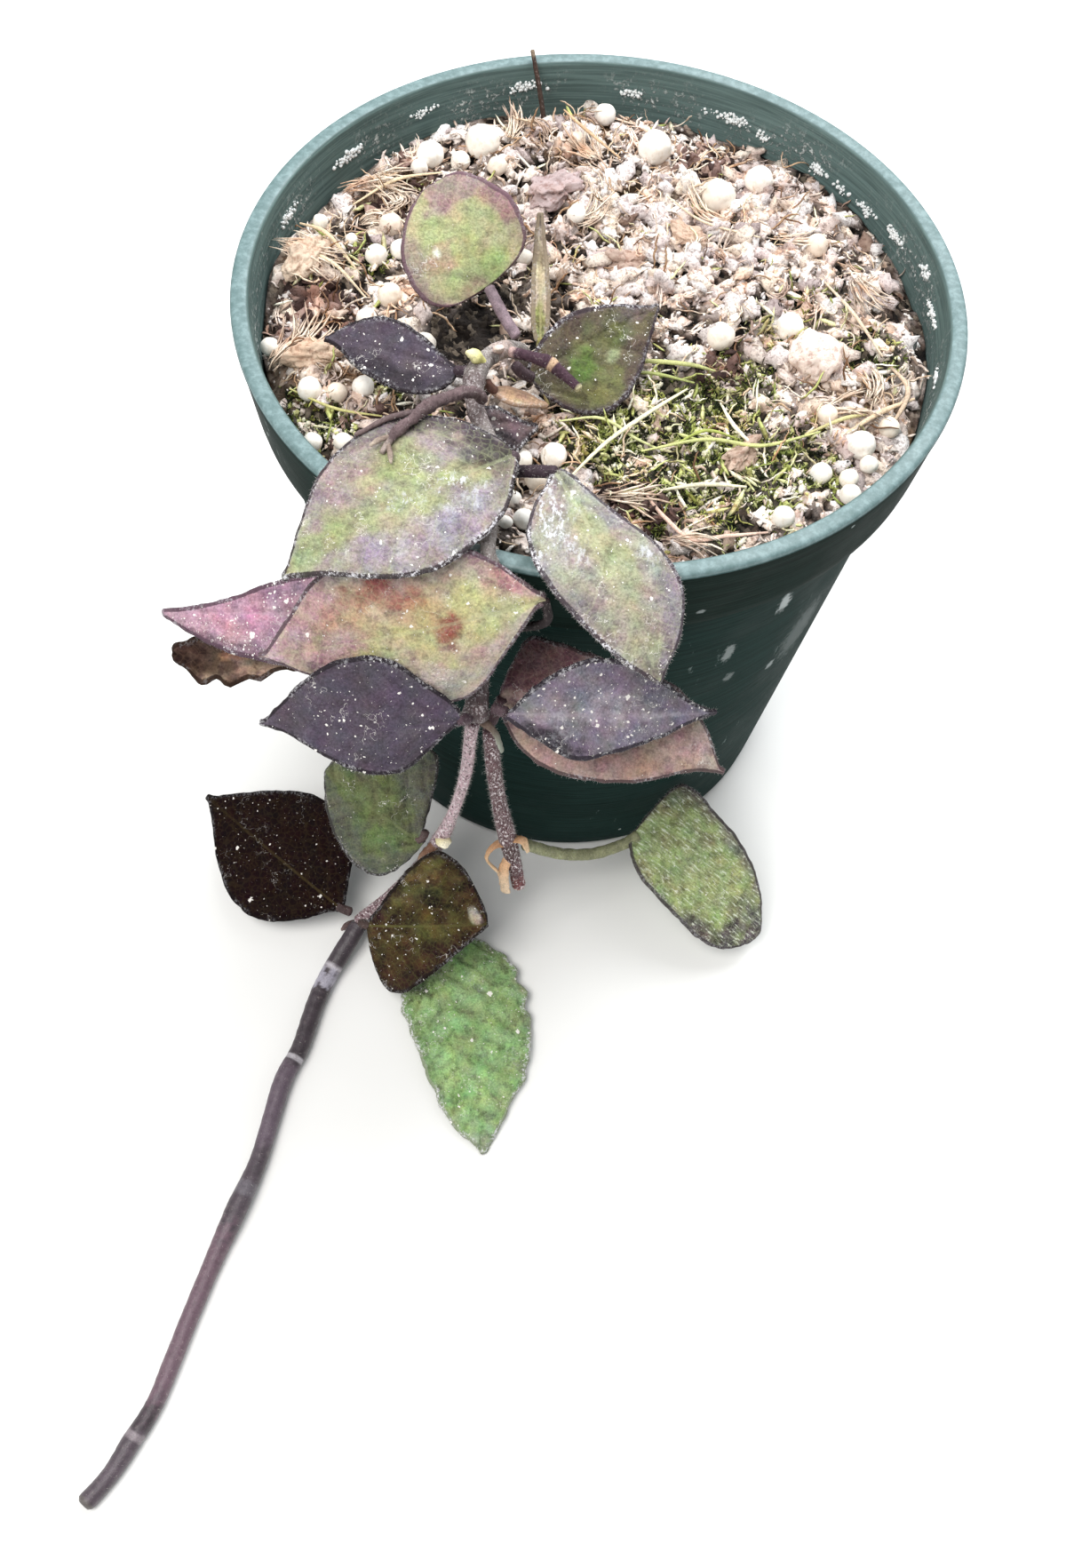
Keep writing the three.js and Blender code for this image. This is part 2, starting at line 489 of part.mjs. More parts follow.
/** The inner wall radius of the pot at height z. */
function potInnerRadius(z) {
  const ledge = POT.height - POT.collarHeight;
  if (z < ledge) {
    const share = (z - POT.floor) / (ledge - POT.floor);
    return POT.baseRadius - POT.wall + share * (POT.wallRadiusUnderCollar - POT.baseRadius);
  }
  const share = (z - ledge) / POT.collarHeight;
  return POT.lipInnerRadius - POT.wall * (1 - share);
}

/** The pot: one turned shell with a wide collar, a rounded lip and drain holes in its floor. */
function potSolid() {
  const ledge = POT.height - POT.collarHeight;
  const round = POT.lipRound;
  const outline = [
    [0, 0], [POT.baseRadius - POT.baseChamfer, 0], [POT.baseRadius, POT.baseChamfer],
    [POT.wallRadiusUnderCollar, ledge - 1], [POT.collarFootRadius, ledge],
    [POT.lipRadius, POT.height - round], [POT.lipRadius - round, POT.height],
    [POT.lipInnerRadius + round, POT.height], [POT.lipInnerRadius, POT.height - round],
    [potInnerRadius(ledge + 1), ledge + 1], [potInnerRadius(ledge - 1), ledge - 1],
    [potInnerRadius(POT.floor), POT.floor], [0, POT.floor],
  ].map(([r, z]) => new THREE.Vector2(r, z));
  const shell = new THREE.LatheGeometry(outline, POT.facets).rotateX(Math.PI / 2);
  const holes = Array.from({ length: POT.drainHoles }, (_, k) => {
    const angle = (2 * Math.PI * (k + 0.5)) / POT.drainHoles;
    return toSolid(new THREE.CylinderGeometry(POT.drainHoleRadius, POT.drainHoleRadius, 4 * POT.floor, 12)
      .rotateX(Math.PI / 2)
      .translate(POT.drainHoleCircle * Math.cos(angle), POT.drainHoleCircle * Math.sin(angle), POT.floor / 2));
  });
  return toSolid(shell).subtract(fuse(holes));
}

/** The height of the mix at x, y. */
function mixHeight(x, y) {
  let z = MIX.level;
  for (const [size, kx, ky, phase] of MIX.waves) z += size * Math.sin(kx * x + ky * y + phase);
  for (const [hx, hy, radius, height] of MIX.heaps) {
    z += height * Math.exp(-((x - hx) ** 2 + (y - hy) ** 2) / (radius * radius));
  }
  return z;
}

/** The plug of mix that fills the pot, with its uneven top. */
function mixGeometry() {
  const count = MIX.facets;
  const ledge = POT.height - POT.collarHeight;
  const inset = GAP + FACET_EASE;
  const edgeRadius = potInnerRadius(MIX.level + 1) - inset - 0.1;
  const points = [];
  const ring = (radius, height) => {
    for (let k = 0; k < count; k += 1) {
      const angle = (2 * Math.PI * k) / count;
      const x = radius * Math.cos(angle);
      const y = radius * Math.sin(angle);
      points.push(new THREE.Vector3(x, y, height ?? mixHeight(x, y)));
    }
  };
  const floor = POT.floor + GAP;
  const rings = [
    [potInnerRadius(floor) - inset, floor], [potInnerRadius(ledge - 1.4) - inset, ledge - 1.4],
    [potInnerRadius(ledge - 1.4) - inset, ledge + 0.6], [edgeRadius - 0.6, ledge + 2],
  ];
  rings.forEach(([radius, height]) => ring(radius, height));
  for (let k = 0; k < MIX.topRings; k += 1) ring(edgeRadius * (1 - k / MIX.topRings));
  const ringCount = rings.length + MIX.topRings;
  points.push(new THREE.Vector3(0, 0, floor), new THREE.Vector3(0, 0, mixHeight(0, 0)));
  const triangles = [];
  for (let k = 0; k < ringCount - 1; k += 1) {
    for (let s = 0; s < count; s += 1) {
      const next = (s + 1) % count;
      const [a, b, c, d] = [k * count + s, k * count + next, (k + 1) * count + next, (k + 1) * count + s];
      triangles.push([a, b, c], [a, c, d]);
    }
  }
  const bottom = ringCount * count;
  for (let s = 0; s < count; s += 1) {
    const next = (s + 1) % count;
    triangles.push([bottom, next, s], [bottom + 1, (ringCount - 1) * count + s, (ringCount - 1) * count + next]);
  }
  return meshFrom(points, triangles);
}

/** A lumpy pebble, sunk into the mix so that a little more than half of it shows. */
function pebble(x, y, halfSizes, turn, detail, random) {
  const shape = new THREE.IcosahedronGeometry(1, detail);
  const position = shape.attributes.position;
  const lumps = new Map();
  for (let k = 0; k < position.count; k += 1) {
    const corner = [position.getX(k), position.getY(k), position.getZ(k)];
    const key = corner.map((value) => value.toFixed(3)).join();
    if (!lumps.has(key)) lumps.set(key, 0.86 + 0.24 * random());
    position.setXYZ(k, ...corner.map((value, axis) => value * lumps.get(key) * halfSizes[axis]));
  }
  shape.rotateZ(turn).translate(x, y, mixHeight(x, y) + 0.12 * halfSizes[2]);
  return toSolid(shape);
}

/** The holes that the stems and the stalk of the dry leaf stand in. */
function holesInMix() {
  const inMix = [
    [STEMS.main_stem, STEM_SIDES, STEM_STEPS],
    [STEMS.rim_twig, STEM_SIDES, STEM_STEPS],
    [LEAVES.dry_upright_leaf.petiole.map((p) => [...p, PETIOLE_RADIUS * 0.75]), PETIOLE_SIDES, 1],
  ];
  return inMix.map(([stations, sides, steps]) => toSolid(stemGeometry(stations.slice(0, 4), sides, steps, GAP + HOLE_EASE)));
}

/** The mix with its perlite and bark, all one body, and plain holes for the stems. */
function soilSolid() {
  const random = makeRandom(LOOSE_PERLITE.seed);
  const standing = [STEMS.main_stem[2], STEMS.rim_twig[0], LEAVES.dry_upright_leaf.petiole[0]];
  const reach = potInnerRadius(MIX.level) - GAP - LOOSE_PERLITE.largest - 1;
  const isFree = (x, y, radius) => standing.every(([sx, sy]) => Math.hypot(x - sx, y - sy) > PERLITE_CLEARANCE)
    && PERLITE.every(([px, py, pr]) => Math.hypot(x - px, y - py) > pr + radius + 0.2);
  const pieces = PERLITE.map(([x, y, r]) => pebble(x, y, [r, r, r], 0, r > BIG_PERLITE ? 1 : 0, random));
  for (const [x, y, a, b, c, turn] of CHUNKS) {
    pieces.push(pebble(x, y, [a, b, c], THREE.MathUtils.degToRad(turn), 1, random));
  }
  for (let placed = 0; placed < LOOSE_PERLITE.count;) {
    const angle = 2 * Math.PI * random();
    const distance = reach * Math.sqrt(random());
    const radius = LOOSE_PERLITE.smallest + (LOOSE_PERLITE.largest - LOOSE_PERLITE.smallest) * random();
    const [x, y] = [distance * Math.cos(angle), distance * Math.sin(angle)];
    if (!isFree(x, y, radius)) continue;
    pieces.push(pebble(x, y, [radius, radius, radius], 0, 0, random));
    placed += 1;
  }
  return fuse([toSolid(mixGeometry()), ...pieces]).subtract(fuse(holesInMix()));
}

// ------------------------------------------------------------------- assembly

const plant = new THREE.Group();

/** Adds one named piece to the plant. */
function add(name, solid) {
  const mesh = new THREE.Mesh(toGeometry(solid), FINISHES[name]);
  mesh.name = name;
  plant.add(mesh);
}

add('pot', potSolid());
add('soil', soilSolid());
for (const name of Object.keys(STEMS)) add(name, stemSolid(name));
for (const name of Object.keys(LEAVES)) add(name, leafSolid(name));

export default plant;
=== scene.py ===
"""A hoya vine with hairy, mottled leaves in a round nursery pot.

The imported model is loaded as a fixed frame. Over it go finer pieces that keep its form: leaves
with veins, puckers and hairs, corky stems, the mix with its perlite, fibres and moss, and a
smoothly turned pot. Sizes are in millimetres and become metres when an object is made.
"""

from __future__ import annotations

import json
import logging
import math
import random
from dataclasses import dataclass, field
from enum import Enum
from typing import Callable, Sequence

import bmesh
import bpy
import numpy as np
from mathutils import Matrix, Vector, noise

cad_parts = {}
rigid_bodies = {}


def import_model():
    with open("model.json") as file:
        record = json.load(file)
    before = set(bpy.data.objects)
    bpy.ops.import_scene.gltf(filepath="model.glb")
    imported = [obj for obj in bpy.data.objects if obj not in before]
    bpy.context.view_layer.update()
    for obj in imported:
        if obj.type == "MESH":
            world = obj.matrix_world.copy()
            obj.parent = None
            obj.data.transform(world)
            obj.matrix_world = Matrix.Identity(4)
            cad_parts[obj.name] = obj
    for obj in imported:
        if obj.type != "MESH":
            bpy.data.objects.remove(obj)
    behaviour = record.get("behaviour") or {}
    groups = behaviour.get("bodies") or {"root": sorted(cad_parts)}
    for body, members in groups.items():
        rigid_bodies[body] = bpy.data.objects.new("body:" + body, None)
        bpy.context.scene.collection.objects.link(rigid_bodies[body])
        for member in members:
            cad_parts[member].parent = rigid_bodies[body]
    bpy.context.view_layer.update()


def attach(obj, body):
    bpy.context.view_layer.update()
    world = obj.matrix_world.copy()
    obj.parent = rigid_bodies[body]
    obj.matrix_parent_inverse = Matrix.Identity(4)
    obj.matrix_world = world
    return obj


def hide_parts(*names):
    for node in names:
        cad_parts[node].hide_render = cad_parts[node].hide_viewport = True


log = logging.getLogger("hoya")

METRES = 0.001  # one millimetre, in the scene's own unit
BODY = "root"
FLOOR_GAP = 0.02  # the lowest height of any point, in mm
KEPT_VALUES = ("tone", "tint", "material_index", "sharp_face")  # what a strewn mesh keeps beside its points
TONE_SEED = 50  # added to a scatter's seed for the draw of its tones

Array = np.ndarray
Material = bpy.types.Material
Piece = bpy.types.Object
Socket = bpy.types.NodeSocket
Point = tuple[float, float, float]
Colour = tuple[float, float, float]
Relief = Callable[[Array, Array, float], Array]  # for a ring's points, angles and share of the length


# ---- small tools


def paint(code: str) -> Colour:
    """Turn a colour code such as "8f8280" into linear red, green and blue.

    Args:
        code: six hexadecimal digits, as a painter would read them on a screen.

    Returns:
        The colour in linear light.
    """
    channels = [int(code[k:k + 2], 16) / 255 for k in (0, 2, 4)]
    red, green, blue = (c / 12.92 if c <= 0.04045 else ((c + 0.055) / 1.055) ** 2.4 for c in channels)
    return red, green, blue


def smooth_step(low: float, high: float, value: Array) -> Array:
    """Rise softly from 0 at low to 1 at high."""
    x = np.clip((value - low) / (high - low), 0, 1)
    return x * x * (3 - 2 * x)


def blend(under: Array, over: Colour, weight: Array) -> Array:
    """Lay one colour over an array of colours, by a weight for each point."""
    return under + (np.array(over) - under) * np.clip(weight, 0, 1)[:, None]


def cloud(points: Array, grain: float, octaves: int = 3, shift: float = 0.0) -> Array:
    """Soft random values from about -1 to 1 at points in space.

    Args:
        points: an array of x, y, z in mm.
        grain: the size of one lump, in mm.
        octaves: how many finer layers are added.
        shift: moves the pattern, so that two clouds differ.

    Returns:
        One value for each point.
    """
    moved = points / grain + shift
    return np.array([noise.fractal(Vector(p), 1.0, 2.0, octaves) for p in moved])


def lumps_at(points: Array, grain: float, octaves: int) -> Array:
    """Random values from about -1 to 1 in lumps round the scene's origin, for a relief."""
    return np.array([noise.fractal(Vector(p) / grain, 1.0, 2.0, octaves) for p in points])


def crumpled(size: float, grain: float, octaves: int) -> Relief:
    """A relief of plain lumps.

    Args:
        size: how far they stand out, as a share of the radius.
        grain: the size of one lump in mm.
        octaves: how many finer layers are added.

    Returns:
        The relief, for tube.
    """
    def relief(points: Array, _angles: Array, _share: float) -> Array:
        """How far each point of a ring stands out."""
        return size * lumps_at(points, grain, octaves)
    return relief


def smooth_value(values: Sequence[float], x: float) -> float:
    """The smooth value along an evenly spaced list, straight past its ends.

    Args:
        values: the list.
        x: the place along it, counted in steps from its first value.

    Returns:
        The value there.
    """
    last = len(values) - 1
    i = min(int(x), last - 1)
    f = x - i
    p1, p2 = values[i], values[i + 1]
    p0 = values[i - 1] if i > 0 else 2 * p1 - p2
    p3 = values[i + 2] if i < last - 1 else 2 * p2 - p1
    return 0.5 * (2 * p1 + (p2 - p0) * f + (2 * p0 - 5 * p1 + 4 * p2 - p3) * f * f
                  + (3 * p1 - p0 - 3 * p2 + p3) * f * f * f)


def unit(vector: Array) -> Array:
    """The same direction with length 1."""
    return vector / (np.linalg.norm(vector) or 1.0)


def level_ring(radius: float, z: float, sides: int) -> Array:
    """A level ring of points round the z axis."""
    angles = np.arange(sides) * 2 * math.pi / sides
    return np.column_stack([radius * np.cos(angles), radius * np.sin(angles), np.full(sides, z)])


def wall_faces(rings: int, sides: int) -> list[tuple[int, ...]]:
    """The faces between rings of points, with a cap on the first and the last ring.

    Args:
        rings: how many rings there are.
        sides: how many points each ring has.

    Returns:
        The faces, turned outwards where the rings run from foot to top.
    """
    faces: list[tuple[int, ...]] = []
    for k in range(rings - 1):
        for s in range(sides):
            a, b = k * sides + s, k * sides + (s + 1) % sides
            faces.append((a, b, b + sides, a + sides))
    faces.append(tuple(range(sides - 1, -1, -1)))
    faces.append(tuple((rings - 1) * sides + s for s in range(sides)))
    return faces


@dataclass
class Form:
    """Points in mm with faces, a finish index for each face and named values for each point."""

    points: Array
    faces: list[tuple[int, ...]]
    finish: list[int]
    values: dict[str, Array] = field(default_factory=dict)

    @classmethod
    def joined(cls, forms: Sequence["Form"]) -> "Form":
        """Put several forms in one; a value that a form lacks is 0 there.

        Args:
            forms: the forms to put together.

        Returns:
            One form with all their points and faces.
        """
        widths = {name: v.shape[1:] for form in forms for name, v in form.values.items()}
        faces: list[tuple[int, ...]] = []
        start = 0
        for form in forms:
            faces += [tuple(i + start for i in face) for face in form.faces]
            start += len(form.points)
        values = {
            name: np.concatenate([f.values.get(name, np.zeros((len(f.points), *width))) for f in forms])
            for name, width in widths.items()
        }
        finish = [index for form in forms for index in form.finish]
        return cls(np.concatenate([f.points for f in forms]), faces, finish, values)

    def make(self, name: str, materials: Sequence[Material]) -> Piece:
        """Make the object, softly shaded and with its place in its mesh.

        Args:
            name: the object's name.
            materials: the finishes that the faces' indices name.

        Returns:
            The new object, in the scene.
        """
        mesh = bpy.data.meshes.new(name)
        mesh.from_pydata((self.points * METRES).tolist(), [], self.faces)
        mesh.polygons.foreach_set("material_index", self.finish)
        mesh.polygons.foreach_set("use_smooth", [True] * len(self.faces))
        for key, value in self.values.items():
            if value.ndim == 2:
                tinted = np.column_stack([value, np.ones(len(value))])
                mesh.attributes.new(key, "FLOAT_COLOR", "POINT").data.foreach_set("color", tinted.ravel())
            else:
                mesh.attributes.new(key, "FLOAT", "POINT").data.foreach_set("value", value)
        for material in materials:
            mesh.materials.append(material)
        mesh.update()
        obj = bpy.data.objects.new(name, mesh)
        bpy.context.collection.objects.link(obj)
        return obj


def plain_mesh(obj: Piece) -> None:
    """Turn an object's modifier into plain mesh.

    Args:
        obj: the object; it keeps its name and loses its modifier.
    """
    graph = bpy.context.evaluated_depsgraph_get()
    plain = bpy.data.meshes.new_from_object(obj.evaluated_get(graph), depsgraph=graph)
    obj.modifiers.clear()
    obj.data = plain


def seat(obj: Piece, slot: str, *nodes: str) -> None:
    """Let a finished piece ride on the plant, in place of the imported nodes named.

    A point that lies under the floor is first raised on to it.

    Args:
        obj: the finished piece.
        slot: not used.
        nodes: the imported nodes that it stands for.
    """
    places = np.empty(len(obj.data.vertices) * 3, np.float32)
    obj.data.vertices.foreach_get("co", places)
    places[2::3] = np.maximum(places[2::3], FLOOR_GAP * METRES)
    obj.data.vertices.foreach_set("co", places)
    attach(obj, BODY)
    if nodes:
        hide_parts(*nodes)
    log.info("%s: %d faces", obj.name, len(obj.data.polygons))


# ---- finishes


class Graph:
    """A material's nodes, laid one call at a time. Patterns are measured in mm."""

    def __init__(self, name: str) -> None:
        """Start a material with a bare surface shader.

        Args:
            name: the material's name.
        """
        self.material = bpy.data.materials.new(name)
        self.material.use_nodes = True
        self.nodes = self.material.node_tree.nodes
        self.links = self.material.node_tree.links
        self.shader = self.nodes["Principled BSDF"]
        place = self.nodes.new("ShaderNodeTexCoord").outputs["Object"]
        self.place = self.vector("SCALE", place, scale=1 / METRES)

    def plug(self, value: object, socket: Socket) -> None:
        """Fill one socket.

        Args:
            value: an output to link, or a number, a place, a colour or a colour's code to set.
            socket: the socket.
        """
        if isinstance(value, str):
            value = paint(value)
        if isinstance(value, Socket):
            self.links.new(value, socket)
        elif isinstance(value, tuple) and socket.type == "RGBA":
            socket.default_value = (*value, 1.0)
        else:
            socket.default_value = value

    def vector(self, operation: str, a: object, b: object = None, scale: float | None = None) -> Socket:
        """One step of vector arithmetic.

        Args:
            operation: its name in Blender.
            a: the first vector.
            b: the second vector, where it needs one.
            scale: the number, where it needs one.

        Returns:
            The new vector, or its length.
        """
        node = self.nodes.new("ShaderNodeVectorMath")
        node.operation = operation
        self.plug(a, node.inputs[0])
        if b is not None:
            self.plug(b, node.inputs[1])
        if scale is not None:
            node.inputs["Scale"].default_value = scale
        return node.outputs["Value" if operation == "LENGTH" else "Vector"]

    def math(self, operation: str, a: object, b: object = 0.0) -> Socket:
        """One step of arithmetic.

        Args:
            operation: its name in Blender.
            a: the first number.
            b: the second number, where it needs one.

        Returns:
            The new number.
        """
        node = self.nodes.new("ShaderNodeMath")
        node.operation = operation
        self.plug(a, node.inputs[0])
        self.plug(b, node.inputs[1])
        return node.outputs[0]

    def noise(self, grain: float, detail: float = 3.0, rough: float = 0.55, stretch: Point = (1, 1, 1),
              shift: float = 0.0, place: object = None) -> Socket:
        """A cloudy pattern.

        Args:
            grain: the size of one lump in mm.
            detail: how many finer layers it has.
            rough: how strong the finer layers are.
            stretch: the pattern's scale along x, y and z; under 1 draws it out.
            shift: moves the pattern, so that two of them differ.
            place: the place that it is laid on, if it isn't the place in space.

        Returns:
            The value from 0 to 1.
        """
        node = self.nodes.new("ShaderNodeTexNoise")
        moved = self.vector("MULTIPLY_ADD", place or self.place, stretch)
        moved.node.inputs[2].default_value = (shift, shift, shift)
        self.plug(moved, node.inputs["Vector"])
        node.inputs["Scale"].default_value = 1 / grain
        node.inputs["Detail"].default_value = detail
        node.inputs["Roughness"].default_value = rough
        return node.outputs["Fac"]

    def cells(self, grain: float, warp: float = 0.0, metric: str = "F1",
              flat: object = None) -> tuple[Socket, Socket]:
        """A pattern of cells.

        Args:
            grain: the distance between cells in mm.
            warp: how far, in mm, a fine noise bends them.
            metric: the feature that is measured.
            flat: the place on a sheet, if the cells lie in its plane.

        Returns:
            The distance that is measured, and the cell's random colour where the feature has one.
        """
        node = self.nodes.new("ShaderNodeTexVoronoi")
        node.feature = metric
        place = self.place
        if flat is not None:
            node.voronoi_dimensions = "2D"
            place = flat
        if warp:
            bend = self.nodes.new("ShaderNodeTexNoise")
            self.plug(self.place, bend.inputs["Vector"])
            bend.inputs["Scale"].default_value = 2.0
            place = self.vector("ADD", place, self.vector("SCALE", bend.outputs["Color"], scale=warp))
        self.plug(place, node.inputs["Vector"])
        node.inputs["Scale"].default_value = 1 / grain
        return node.outputs["Distance"], node.outputs.get("Color")

    def band(self, value: object, low: float, high: float, start: float = 0.0,
             end: float = 1.0) -> Socket:
        """Pass softly from one number to another.

        Args:
            value: the pattern that is read.
            low: its value where the change starts.
            high: its value where the change ends.
            start: the number before the change.
            end: the number after it.

        Returns:
            The number.
        """
        node = self.nodes.new("ShaderNodeMapRange")
        node.interpolation_type = "SMOOTHSTEP"
        for socket, number in zip(node.inputs, (value, low, high, start, end)):
            self.plug(number, socket)
        return node.outputs[0]

    def value(self, name: str) -> Socket:
        """A value that the mesh carries for each point.

        Args:
            name: the value's name.

        Returns:
            The value.
        """
        node = self.nodes.new("ShaderNodeAttribute")
        node.attribute_name = name
        return node.outputs["Fac"]

    def tint(self) -> Socket:
        """The mesh's own colour."""
        return self.value("tint").node.outputs["Color"]

    def sheet(self) -> Socket:
        """The place on a leaf's own sheet.

        Returns:
            The distances down and aside of its midrib, in mm.
        """
        node = self.nodes.new("ShaderNodeCombineXYZ")
        self.plug(self.value("down"), node.inputs[0])
        self.plug(self.value("aside"), node.inputs[1])
        return node.outputs[0]

    def mix(self, weight: object, a: object, b: object, how: str = "MIX") -> Socket:
        """Mix two colours.

        Args:
            weight: how much of the second one shows, from 0 to 1.
            a: the first colour.
            b: the second colour.
            how: the way of mixing, by its name in Blender.

        Returns:
            The new colour.
        """
        node = self.nodes.new("ShaderNodeMix")
        node.data_type = "RGBA"
        node.blend_type = how
        self.plug(weight, node.inputs[0])
        self.plug(a, node.inputs[6])
        self.plug(b, node.inputs[7])
        return node.outputs[2]

    def shaded(self, colour: object, by: object) -> Socket:
        """A colour times another colour or a number."""
        return self.mix(1.0, colour, by, "MULTIPLY")

    def product(self, a: object, b: object) -> Socket:
        """One number times another."""
        return self.math("MULTIPLY", a, b)

    def lay(self, under: object, top: object, pattern: object, low: float, high: float,
            most: float) -> Socket:
        """Lay a colour over another where a pattern says so.

        Args:
            under: the colour below.
            top: the colour on top.
            pattern: the pattern that is read.
            low: its value where the top colour starts to show.
            high: its value where it shows in full.
            most: how strong it is there, from 0 to 1.

        Returns:
            The new colour.
        """
        return self.mix(self.band(pattern, low, high, 0, most), under, top)

    def ramp(self, value: object, stops: Sequence[tuple[float, str]]) -> Socket:
        """Turn a value into a colour.

        Args:
            value: the value, from 0 to 1.
            stops: places along the way with the code of the colour there.

        Returns:
            The colour.
        """
        node = self.nodes.new("ShaderNodeValToRGB")
        elements = node.color_ramp.elements
        while len(elements) < len(stops):
            elements.new(0.5)
        for element, (position, code) in zip(elements, stops):
            element.position = position
            element.color = (*paint(code), 1.0)
        self.plug(value, node.inputs[0])
        return node.outputs["Color"]

    def bump(self, height: object, depth: float, strength: float = 1.0, under: object = None) -> Socket:
        """Relief on the surface.

        Args:
            height: the pattern, from 0 to 1.
            depth: how deep it is, in mm.
            strength: how much of it shows.
            under: relief that it is laid over.

        Returns:
            The bent normal.
        """
        node = self.nodes.new("ShaderNodeBump")
        node.inputs["Strength"].default_value = strength
        node.inputs["Distance"].default_value = depth * METRES
        self.plug(height, node.inputs["Height"])
        if under is not None:
            self.plug(under, node.inputs["Normal"])
        return node.outputs["Normal"]

    def finish(self, colour: object, roughness: object, normal: object = None, **sockets: float) -> Material:
        """Set the shader and give the material back.

        Args:
            colour: the base colour or its pattern.
            roughness: the roughness or its pattern.
            normal: the bent normal, if there is relief.
            sockets: other shader values, by their names with underscores.

        Returns:
            The finished material.
        """
        self.plug(colour, self.shader.inputs["Base Color"])
        self.plug(roughness, self.shader.inputs["Roughness"])
        if normal is not None:
            self.plug(normal, self.shader.inputs["Normal"])
        for name, number in sockets.items():
            self.shader.inputs[name.replace("_", " ")].default_value = number
        return self.material


